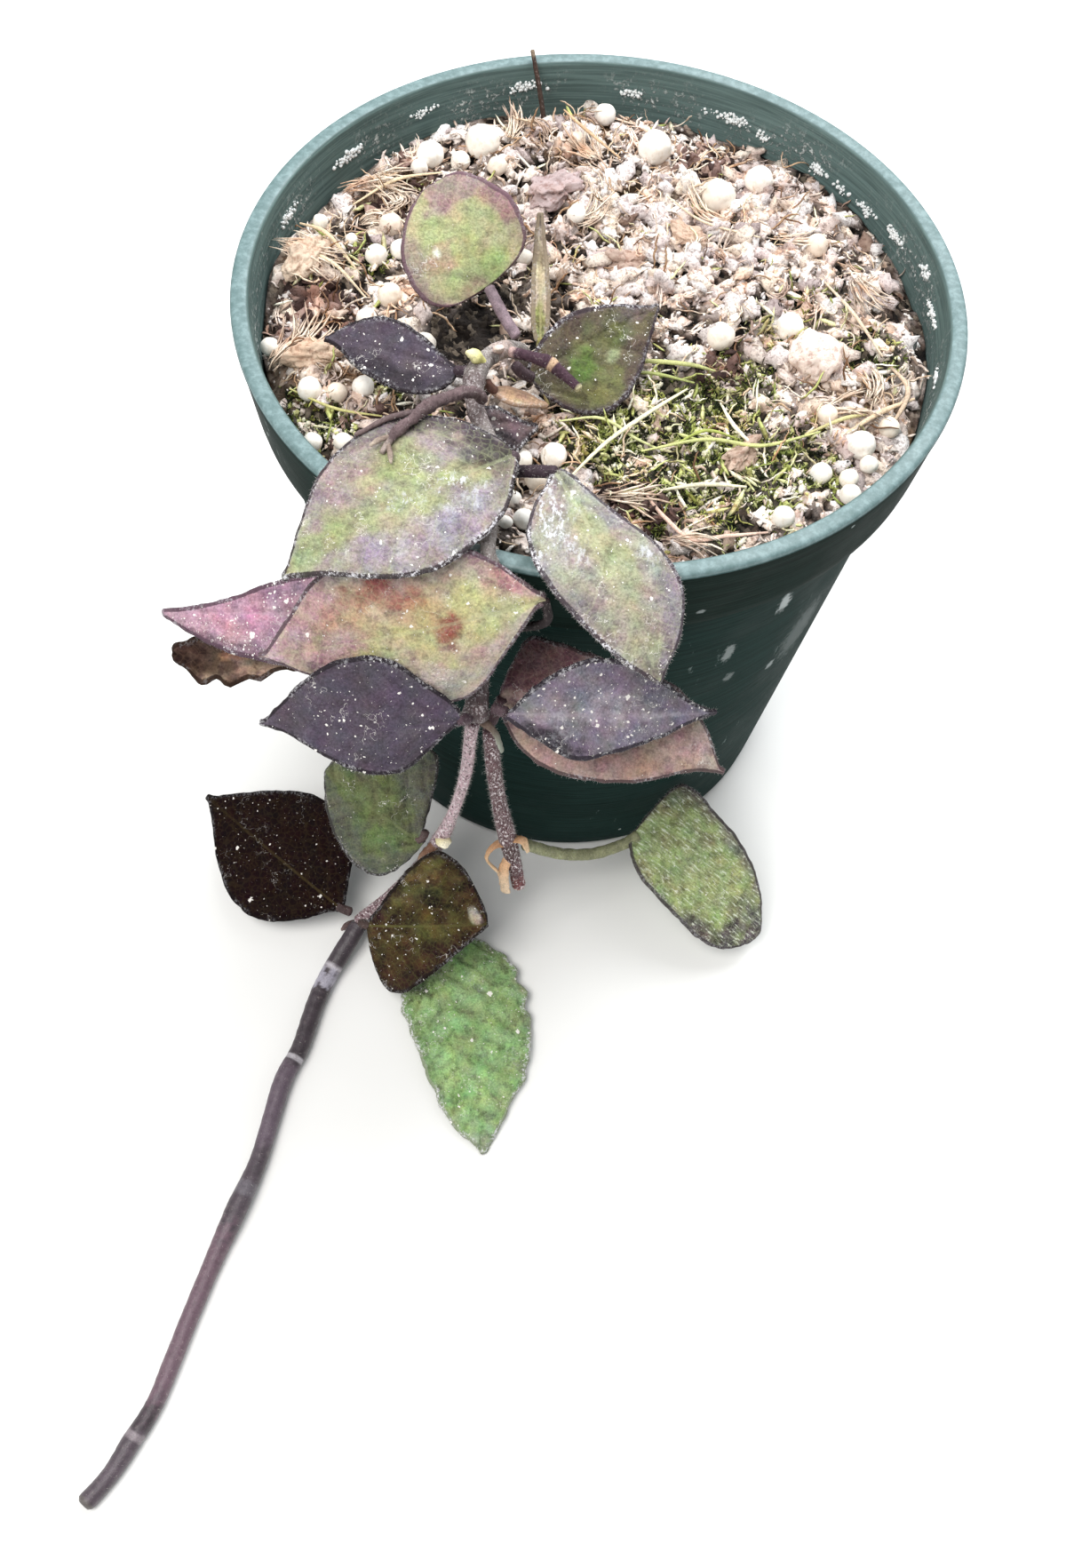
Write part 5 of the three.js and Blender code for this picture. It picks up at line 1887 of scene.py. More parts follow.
    def laid_wads(self) -> None:
        """The thick wads of coir at their places, which follow the mix's height."""
        forms = []
        for k, (x, y, turn, longest, blades, bend) in enumerate(self.wads):
            form = wad(k + 500, blades, longest, 0.17, 0.11 * longest, bend)
            form.points = turned(form.points, math.radians(turn)) + (x, y, 0.7)
            form.points[:, 2] += [self.height(px, py) for px, py, _ in form.points]
            form.values["tone"] = 0.5 + 0.5 * cloud(form.points, 2.0, 2, 3.0)
            forms.append(form)
        coir = GrainSkin(((0.0, "b3937c"), (0.3, "dcc4ae"), (0.7, "f7ead9"), (1.0, "e6cfae")), 0.85, 0.2, 0.5, 0.5)
        seat(Form.joined(forms).make("coir_wads", [coir.material("coir")]), "soil")

    def build(self) -> None:
        """Make the whole mix."""
        bed = self.bed()
        self.stones()
        self.long_threads()
        self.laid_wads()
        self.loose(bed)


# ---- studio


@dataclass(frozen=True)
class Studio:
    """The plain floor, the soft lights and the camera at the photograph's viewing angle."""

    eye: Point = (0.0, -170.908, 254.319)
    target: Point = (-2.033, -84.998, 102.0)
    roll: float = 4.65
    focal_pixels: float = 1662.65
    frame_height: float = 1765.0
    sensor: float = 36.0
    floor_size: float = 3000.0

    def camera(self) -> None:
        """Set the camera."""
        data = bpy.data.cameras.new("camera")
        data.sensor_fit = "VERTICAL"
        data.sensor_height = self.sensor
        data.lens = self.focal_pixels / self.frame_height * self.sensor
        data.clip_start = 0.01
        eye, target = Vector(self.eye), Vector(self.target)
        ahead = (target - eye).normalized()
        right = ahead.cross(Vector((0, 0, 1))).normalized()
        up = right.cross(ahead)
        roll = math.radians(self.roll)
        turned = right * math.cos(roll) + up * math.sin(roll)
        upright = up * math.cos(roll) - right * math.sin(roll)
        matrix = Matrix((turned, upright, -ahead)).transposed().to_4x4()
        matrix.translation = eye * METRES
        camera = bpy.data.objects.new("camera", data)
        camera.matrix_world = matrix
        bpy.context.collection.objects.link(camera)
        bpy.context.scene.camera = camera

    def lamp(self, name: str, place: Point, aim: Point, size: float, power: float, colour: Colour) -> None:
        """Add one soft area light.

        Args:
            name: the lamp's name.
            place: where it hangs, in mm.
            aim: what it points at, in mm.
            size: the side of its square, in mm.
            power: its power in watts.
            colour: its colour.
        """
        data = bpy.data.lights.new(name, "AREA")
        data.size, data.energy, data.color = size * METRES, power, colour
        lamp = bpy.data.objects.new(name, data)
        lamp.location = Vector(place) * METRES
        lamp.rotation_euler = (Vector(aim) - Vector(place)).to_track_quat("-Z", "Y").to_euler()
        bpy.context.collection.objects.link(lamp)

    def build(self) -> None:
        """Make floor, lights and camera."""
        half = self.floor_size / 2
        corners = np.array([(-half, -half, 0.0), (half, -half, 0.0), (half, half, 0.0), (-half, half, 0.0)])
        g = Graph("pale floor")
        tone = g.band(g.noise(60, 3), 0.3, 0.7, 0.97, 1.0)
        floor = Form(corners, [(0, 1, 2, 3)], [0]).make(
            "floor", [g.finish(g.mix(1.0, paint("f6f6f4"), tone, "MULTIPLY"), 0.8)])
        self.lamp("roof_light", (140, 340, 560), (0, -20, 80), 420, 4.8, (0.97, 0.99, 1.0))
        self.lamp("front_fill", (-220, -260, 620), (0, -40, 70), 380, 3.6, (1.0, 0.98, 0.95))
        world = bpy.data.worlds.new("soft room")
        world.use_nodes = True
        world.node_tree.nodes["Background"].inputs["Color"].default_value = (0.95, 0.97, 1.0, 1.0)
        world.node_tree.nodes["Background"].inputs["Strength"].default_value = 0.5
        bpy.context.scene.world = world
        bpy.context.scene.view_settings.view_transform = "Standard"
        self.camera()


# ---- this plant


DRY_SKIN = BarkSkin(grain=0.6, contrast=0.35, depth=0.2, roughness=0.8, shine=0.2)
STALK_SKIN = BarkSkin(grain=0.5, contrast=0.4, depth=0.12, roughness=0.65)
DARK_SKIN = LeafSkin(specks=0.36, speck_grain=1.6, mottle=0.3, hues=0.25, bloom=0.06, shine=0.15, scratches=0.5)
DRY_LEAF_SKIN = LeafSkin(specks=0.05, mottle=0.8, bloom=0.0, roughness=0.8, shine=0.1, scratches=0.0)
BARE = {"stalk_radius": 0.64, "hairs": 0.0, "rim_hairs": 0.0}  # a dry leaf: a thin stalk and no hairs

WAVES = ((0.45, 0.21, 0.0, 0.4), (0.4, 0.0, 0.19, 1.1), (0.35, 0.43, -0.31, 0.0), (0.3, 0.28, 0.52, 2.0))
HEAPS = ((-44, 5, 7, 2.4), (-40, -16, 6, 1.6), (-8, 42, 7, 1.8), (-9, 24, 6, 1.4), (20, 12, 13, 1.1),
         (34, -18, 9, 0.8), (-19, -4, 6, -3.4), (4, -38, 8, -0.8))
SCRAPES = (  # x, y, z, half width, how squat, strength
    (31.7, -36.9, 78.9, 1.5, 0.45, 0.75), (24.8, -40.8, 70.1, 1.3, 0.35, 0.4), (26.2, -38.7, 60.8, 1.1, 0.6, 0.25),
    (33.6, -31.7, 55.1, 1.1, 0.7, 0.5), (37.2, -28.4, 61.0, 5.0, 0.5, 0.16), (18.0, -49.6, 91.5, 0.9, 1.5, 0.4),
)

SALTS = (
    (69, 97.0, 5.0), (62, 96.2, 1.5), (49, 95.6, 2.0), (43, 95.4, 1.6), (36, 95.6, 1.8), (27, 96.6, 2.6),
    (15, 98.4, 2.0), (7, 96.8, 4.0), (108, 98.2, 3.5), (128, 98.0, 3.0), (146, 97.4, 4.0), (165, 97.4, 3.0),
    (88, 97.4, 1.5), (-8, 97.0, 1.5),
)
PERLITE = (
    (-21.4, 35.3, 2.8), (-24.6, 31.5, 1.6), (-29.5, 31.5, 2.2), (-18.5, 30.3, 1.6), (-2.2, 46.0, 1.8),
    (6.4, 38.3, 2.7), (17.2, 29.1, 2.7), (23.5, 33.2, 2.3), (-33.5, 15.5, 1.9), (-31.2, 9.8, 1.7),
    (-34.6, 7.2, 1.7), (-31.5, -0.1, 1.9), (-34.2, -5.2, 1.6), (-44.4, 14.4, 1.2), (-25.2, -9.2, 1.9),
    (-40.1, -20.8, 1.8), (-36.2, -20.6, 1.5), (-32.7, -18.8, 1.6), (-47.2, -13.2, 1.4), (18.5, -2.4, 2.1),
    (28.8, 1.0, 2.1), (32.8, 18.9, 1.8), (-4.2, -28.6, 1.9), (-8.6, -29.4, 1.5), (-6.2, -33.4, 1.7),
    (-7.4, -39.6, 1.5), (-38.1, -30.2, 1.4), (-33.8, -30.3, 1.3), (39.1, -21.6, 2.1), (34.3, -16.6, 1.5),
    (33.4, -27.3, 1.6), (28.4, -35.1, 1.6), (43.6, -16.2, 1.6), (-5.0, 22.0, 1.6), (37.4, -31.2, 1.5),
    (-12.4, 12.0, 1.4), (-9.1, -36.6, 1.2), (-10.0, -32.2, 1.2), (-9.7, -40.6, 1.0), (40.2, -24.8, 1.3),
    (37.4, -27.6, 1.4), (-39.2, 11.9, 1.0), (-6.4, 38.2, 1.3), (-30.8, 28.6, 1.4),
)
CHUNKS = (
    (32.3, -5.2, 3.9, 4.2, 3.0, 20, 0.2), (-8.7, 25.8, 4.2, 2.6, 1.8, 35, 0.7), (-44.6, 3.6, 4.6, 2.4, 2.2, 70, 0.5),
    (-40.6, -14.6, 3.8, 2.2, 2.0, 15, 0.5), (12.6, 19.2, 3.2, 2.0, 1.4, -30, 0.7),
    (22.0, -24.5, 3.4, 1.6, 1.3, 50, 0.6), (2.8, 12.0, 3.0, 2.0, 1.4, 10, 0.7), (-24.5, 20.5, 3.2, 1.8, 1.4, -50, 0.6),
)
SPOTS = {  # for each ground: x, y, how far it reaches and how much of it lies there
    Ground.MOSS: (
        (4, -24, 10, 1), (16, -20, 11, 1), (27, -27, 10, 0.9), (14, -34, 10, 0.9), (22, -9, 6, 0.7),
        (-36.5, 7.3, 4, 1), (-40, -25, 7, 0.8), (-27, -16, 5, 0.6), (27, 1, 5, 0.5), (41, -3, 6, 0.6),
        (33, 7, 5, 0.35),
    ),
    Ground.FIBRE: (
        (-45, 4, 5, 1), (-40, -16, 8, 1), (-8, 43, 8, 1), (-34, 24, 7, 0.8), (6, 24, 9, 0.5), (41, -14, 8, 0.8),
    ),
    Ground.BROWN: (
        (-30, 24, 8, 0.9), (-43, -5, 7, 1), (14, 37, 5, 1), (19, -8, 4, 0.8), (7, -41, 9, 1), (-30, -26, 6, 0.7),
        (-39, 7, 4, 0.8), (-37, 11, 4, 0.8),
    ),
    # painted shade: the dark hole under the round leaf and the shaded gaps near the wall
    Ground.DARK: (
        (-19, -4, 8, 1), (-10, 2, 6, 0.7), (-8, -44, 6, 0.8), (-13, -15, 5, 0.7), (-38, 3, 4, 0.6),
        (42, -4, 6, 0.45), (6, -13, 6, 0.4), (-36, 12, 4, 0.5), (-49.5, 2, 4, 0.7), (-45.5, 1, 3.5, 0.6),
        (-46, -21, 4, 0.7), (-41, -8, 4, 0.5),
    ),
    Ground.PALE: (
        (20, 22, 16, 1), (34, 12, 8, 0.7), (2, 30, 10, 0.8), (8, 18, 11, 1), (40, -20, 9, 0.8), (5, 8, 8, 0.7),
    ),
}
THREADS = (
    (((-2, -33.5, 1.6), (3, -27, 2.2), (9, -20, 2.6), (14, -13.5, 2.0)), 0.55, "f0ebc8"),
    (((8, -27, 1.4), (17, -24, 2.0), (25, -23.5, 1.8), (33, -21, 1.4)), 0.5, "c3c884"),
    (((11, -33.5, 1.0), (17, -31.5, 1.6), (23, -31, 1.2)), 0.6, "e3dcbf"),
    (((-4, -22, 1.2), (2, -22, 1.8), (7, -24.5, 1.6), (11, -26, 1.0)), 0.4, "cdd196"),
    (((19, -15, 1.2), (21, -20, 1.8), (24.5, -24, 1.2)), 0.55, "f4efd4"),
    (((33.5, 12, 1.2), (38, 3, 1.8), (42.5, -4, 1.6)), 0.5, "d9c6ad"),
    (((43.5, -5, 1.2), (46, -9, 2.4), (45.5, -13, 2.6), (43.5, -17, 1.4)), 0.65, "c9b29a"),
    (((37, -20, 1.0), (42, -15, 2.0), (47, -11.5, 2.4)), 0.7, "dcc3a4"),
    (((3, -9, 0.8), (8, -9.5, 1.8), (14, -9.5, 1.8), (18, -8.5, 0.8)), 0.6, "bfc283"),
    (((4, -11, 0.8), (9, -11.5, 1.4), (15, -11.5, 1.0)), 0.5, "a9b26e"),
    (((-47, 12, 0.8), (-42, 7.5, 3.0), (-37, 3, 1.4)), 0.6, "d9c3a2"),
    (((-46, 6, 1.0), (-40, 2, 2.4), (-35, -1, 1.0)), 0.5, "e3d2b4"),
    (((-43, -21, 0.8), (-36, -24, 1.8), (-29, -25, 0.8)), 0.4, "b9b477"),
    (((-40, 19, 1.0), (-34, 24.5, 2.2), (-27, 27, 1.6)), 0.5, "e0cba9"),
    (((9, 27, 0.8), (15, 22, 1.8), (24, 20, 1.4)), 0.4, "e6d3b8"),
    (((-9, 45, 1.0), (-6, 39, 2.6), (1, 34, 1.0)), 0.5, "cfae8a"),
    (((9, -34.2, 1.0), (11.9, -37.8, 1.8), (15.8, -41, 1.4), (20.4, -40.1, 1.6), (26.2, -38.3, 0.8)), 0.55, "e0bfae"),
    (((31, -21, 1.0), (36.3, -18.3, 1.8), (39.9, -15.4, 1.2)), 0.55, "c9c08a"),
    (((13, -24, 0.8), (17, -22, 1.6), (22, -21.5, 0.8)), 0.45, "a9b35c"),
)

WADS = (
    (-44, 4, -21, 12, 26, 0.0), (-43.5, 7.0, -35, 9, 12, 0.05), (-36, 26, 30, 13, 26, -0.12),
    (-35.5, 20, 60, 9, 18, -0.5), (-31, 24, 10, 9, 16, -0.4), (-42, -11.5, 48, 11, 24, 0.08),
    (-45, -13, 75, 8, 16, -0.2), (-16, 42, 70, 8, 20, 0.1), (-12, 41, 110, 7, 14, 0.2), (-6, 36, 150, 8, 18, -0.1),
    (0, 22, 20, 9, 14, 0.2), (14, 24, 160, 9, 12, -0.15), (30, 18, -40, 9, 12, 0.2), (40, 8, -70, 9, 16, 0.1),
    (38, -14, 30, 10, 18, -0.15), (43, -9, 60, 8, 14, 0.2), (8, -36, -20, 9, 14, 0.1), (16, -41, 10, 9, 14, -0.1),
)

MAIN_STATIONS = (
    (-9.6, -5.6, 70, 1.5), (-9.8, -6.6, 82, 1.5), (-10.1, -8.4, 92, 1.4), (-10.5, -11.6, 98, 1.3),
    (-11.5, -14.4, 101.4, 1.25), (-13.1, -17.0, 103.6, 1.25), (-15.0, -20.5, 104.8, 1.3),
    (-16.0, -24.0, 104.8, 1.6), (-15.4, -28.0, 103.6, 1.25), (-13.1, -33.0, 102.9, 1.2),
    (-10.6, -39.0, 103.8, 1.5), (-11.0, -46.0, 103.9, 1.0), (-11.0, -52.4, 103.6, 1.0),
    (-10.3, -54.1, 102.7, 1.15), (-10.5, -54.8, 100.4, 1.15), (-10.8, -54.9, 91.0, 1.6),
    (-11.0, -60.0, 85.2, 1.3), (-11.2, -63.6, 81.2, 1.9),
)
HANGING_STATIONS = (
    (-11.7, -62.4, 77.6, 1.3), (-12.2, -61.0, 71, 1.25), (-13.1, -58.9, 57, 1.25), (-15.3, -56.6, 40, 1.25),
    (-18.0, -55.3, 26.6, 1.9), (-21.0, -55.1, 17.8, 1.35), (-26.7, -58.3, 8.8, 1.4), (-32.1, -62.9, 5.0, 2.0),
)
TRAILING_STATIONS = (
    (-32.3, -63.4, 4.6, 1.5), (-33.4, -65.6, 3.9, 1.6), (-36.4, -72.2, 2.0, 1.65),
    (-38.1, -78.2, 1.65, 1.6), (-39.4, -86.7, 1.6, 1.55),
    (-41.3, -92.7, 1.65, 1.6), (-42.2, -100.0, 1.55, 1.5), (-43.1, -107.7, 1.6, 1.5),
    (-45.1, -115.8, 1.85, 1.8), (-47.3, -124.4, 1.55, 1.5), (-49.2, -133.0, 1.5, 1.45),
    (-50.6, -140.0, 1.5, 1.45), (-52.1, -146.9, 1.5, 1.4), (-54.4, -152.4, 1.6, 1.55),
    (-56.6, -157.4, 1.5, 1.4), (-59.4, -161.6, 1.5, 1.45),
)
CUT_STATIONS = (
    (-9.6, -59.6, 71.5, 1.2), (-9.2, -58.6, 64, 1.4), (-8.8, -57.8, 56, 1.45), (-7.9, -56.4, 44, 1.5),
    (-6.2, -55.8, 30, 1.9), (-4.7, -56.2, 21, 1.5), (-3.8, -56.8, 15, 1.5),
)
PEDUNCLE_STATIONS = (
    (-14.5, -28.4, 105.6, 0.8), (-15.2, -31.0, 109.4, 0.75), (-16.9, -34.0, 112.0, 0.85),
    (-18.9, -36.0, 112.8, 0.7), (-20.6, -37.8, 113.0, 0.95), (-22.3, -40.0, 112.8, 0.65),
    (-23.6, -41.5, 112.6, 0.85), (-24.6, -43.2, 112.2, 0.5), (-25.4, -45.0, 111.8, 0.35),
)
SPUR_STATIONS = (
    (-11.6, -18.4, 104.9, 0.75), (-9.2, -18.9, 104.9, 0.75), (-6.4, -19.2, 104.5, 0.95),
    (-4.6, -20.2, 104.0, 0.8), (-1.6, -22.4, 103.2, 0.6),
)
TWIG_STATIONS = (
    (-11.4, 40.2, 94.6, 0.4), (-12.4, 43.4, 97.6, 0.4), (-13.5, 46.4, 100.4, 0.4), (-15.0, 50.4, 103.5, 0.35),
)


def stems() -> list[Stem]:
    """All the stems of the plant.

    Returns:
        The stems with their colours, scales and hairs.
    """
    bark = BarkSkin(speckle=0.35)
    furry = BarkSkin(grain=0.6, speckle=0.85)
    smooth = BarkSkin(grain=1.0, contrast=0.35, depth=0.12, roughness=0.38, shine=0.6)
    gnarled = BarkSkin(grain=0.6, contrast=0.7, depth=0.35, roughness=0.8, stretch=(1, 1, 1))
    return [
        Stem("main_stem", MAIN_STATIONS, "8a8480", bark, (
            Stretch(0.30, 0.03, "c9b3aa", 0.6), Stretch(0.0, 0.16, "5a4a3e", 0.8), Stretch(0.92, 0.10, "4a3a3e", 0.8),
            Stretch(0.46, 0.06, "5b4a4d", 0.6),
        ), (
            Scale(((-15.0, -21.6, 105.6, 0.7), (-16.2, -22.2, 107.2, 1.1), (-17.2, -22.6, 108.0, 0.4)),
                  "dcd68c", "f0e9b8", 0.8),
            Scale(((-13.6, -18.2, 104.0, 0.7), (-13.2, -19.2, 106.0, 0.9), (-12.9, -20.2, 107.0, 0.35)),
                  "d8b9b2", "efdcd2"),
            Scale(((-11.0, -63.4, 81.0, 0.8), (-8.4, -64.6, 79.2, 0.55), (-7.2, -65.2, 75.4, 0.4)),
                  "6c5c52", "9aa093"),
        ), 0.07, 0.5),
        Stem("hanging_stem", HANGING_STATIONS, "b0959c", furry, (
            Stretch(0.66, 0.05, "3a2c2e", 0.85), Stretch(1.0, 0.25, "7a6468", 0.7), Stretch(0.28, 0.28, "d2b6be", 0.8),
        ), (
            Scale(((-17.8, -55.8, 28.4, 1.0), (-17.0, -57.2, 29.4, 1.3), (-16.6, -58.2, 29.6, 0.5)),
                  "eadfae", "f6efd6"),
            Scale(((-18.6, -55.8, 26.0, 0.9), (-20.6, -57.4, 23.6, 1.0), (-21.4, -58.0, 21.4, 0.4)),
                  "7a5a48", "b99a82"),
            Scale(((-32.1, -62.9, 5.0, 0.9), (-34.6, -63.2, 3.4, 0.7), (-35.6, -63.4, 2.0, 0.35)),
                  "4a3a3a", "7c6a66"),
        ), 0.08, 4.0, slim=0.74),
        Stem("trailing_shoot", TRAILING_STATIONS, "4b4048", smooth, (
            Stretch(0.15, 0.22, "2c2228", 0.6), Stretch(0.125, 0.004, "d8d2da", 0.7, 0.1),
            Stretch(0.15, 0.02, "b9b5c4", 0.75, 0.9), Stretch(0.29, 0.005, "c9c4ca", 0.7, 0.1),
            Stretch(0.505, 0.012, "6f6a72", 0.6),
            Stretch(0.82, 0.03, "2a1f24", 0.6), Stretch(0.855, 0.008, "9a8f94", 0.6),
            Stretch(1.0, 0.01, "59544f", 0.8), Stretch(0.37, 0.08, "6a5a68", 0.6), Stretch(0.68, 0.14, "705662", 0.7),
        ), (), 0.035, 0.25),
        Stem("cut_branch", CUT_STATIONS, "6b5155", furry, (
            Stretch(1.0, 0.02, "f0d9cc", 1.0, 0.1), Stretch(0.95, 0.09, "8a4a4a", 0.6),
            Stretch(0.7, 0.05, "40302f", 0.6),
        ), (
            Scale(((-6.6, -56.0, 29.6, 0.9), (-8.6, -57.2, 29.6, 0.6), (-9.6, -58.0, 26.4, 0.5),
                   (-7.6, -58.4, 22.8, 0.6)), "b98f6c", "e3c29c", 0.5),
            Scale(((-6.0, -56.4, 24.8, 0.8), (-6.6, -58.0, 22.4, 1.0), (-6.0, -59.0, 16.4, 0.95)),
                  "d9b08a", "eed3b6", 0.5),
            Scale(((-5.4, -55.8, 30.6, 0.9), (-3.6, -57.0, 32.6, 0.8), (-2.6, -57.6, 30.0, 0.4)),
                  "c69a74", "e6c8a4", 0.5),
        ), 0.08, 2.4, slim=0.82),
        Stem("peduncle", PEDUNCLE_STATIONS, "6c5a5c", gnarled, (Stretch(1.0, 0.14, "b0a298", 0.7),), (
            Scale(((-18.2, -35.8, 112.5, 0.5), (-21.4, -38.0, 112.5, 0.42), (-25.2, -39.6, 112.3, 0.4),
                   (-29.2, -42.2, 111.4, 0.3)), "5c4e50", "70605f", 0.9),
            Scale(((-24.2, -42.6, 112.5, 0.3), (-26.0, -43.8, 112.6, 0.4), (-26.9, -44.6, 112.4, 0.2)),
                  "8a7a70", "b3a596", 0.8),
            Scale(((-24.8, -43.6, 112.2, 0.3), (-24.2, -45.6, 112.0, 0.35), (-24.0, -46.6, 111.8, 0.15)),
                  "8a7a70", "b3a596", 0.8),
        ), 0.28, 0.6, rings=2.4, sides=18),
        Stem("cut_spur", SPUR_STATIONS, "4b3440", gnarled, (
            Stretch(0.0, 0.1, "d8b9b2", 0.8), Stretch(0.6, 0.07, "d3b394", 0.9), Stretch(1.0, 0.06, "d9d2a8", 0.9),
        ), (), 0.1, 0.6, sides=16),
        Stem("rim_twig", TWIG_STATIONS, "3a2a22", gnarled, (Stretch(1.0, 0.1, "9c8a74", 0.6),), (), 0.12, 0.0,
             sides=10),
    ]


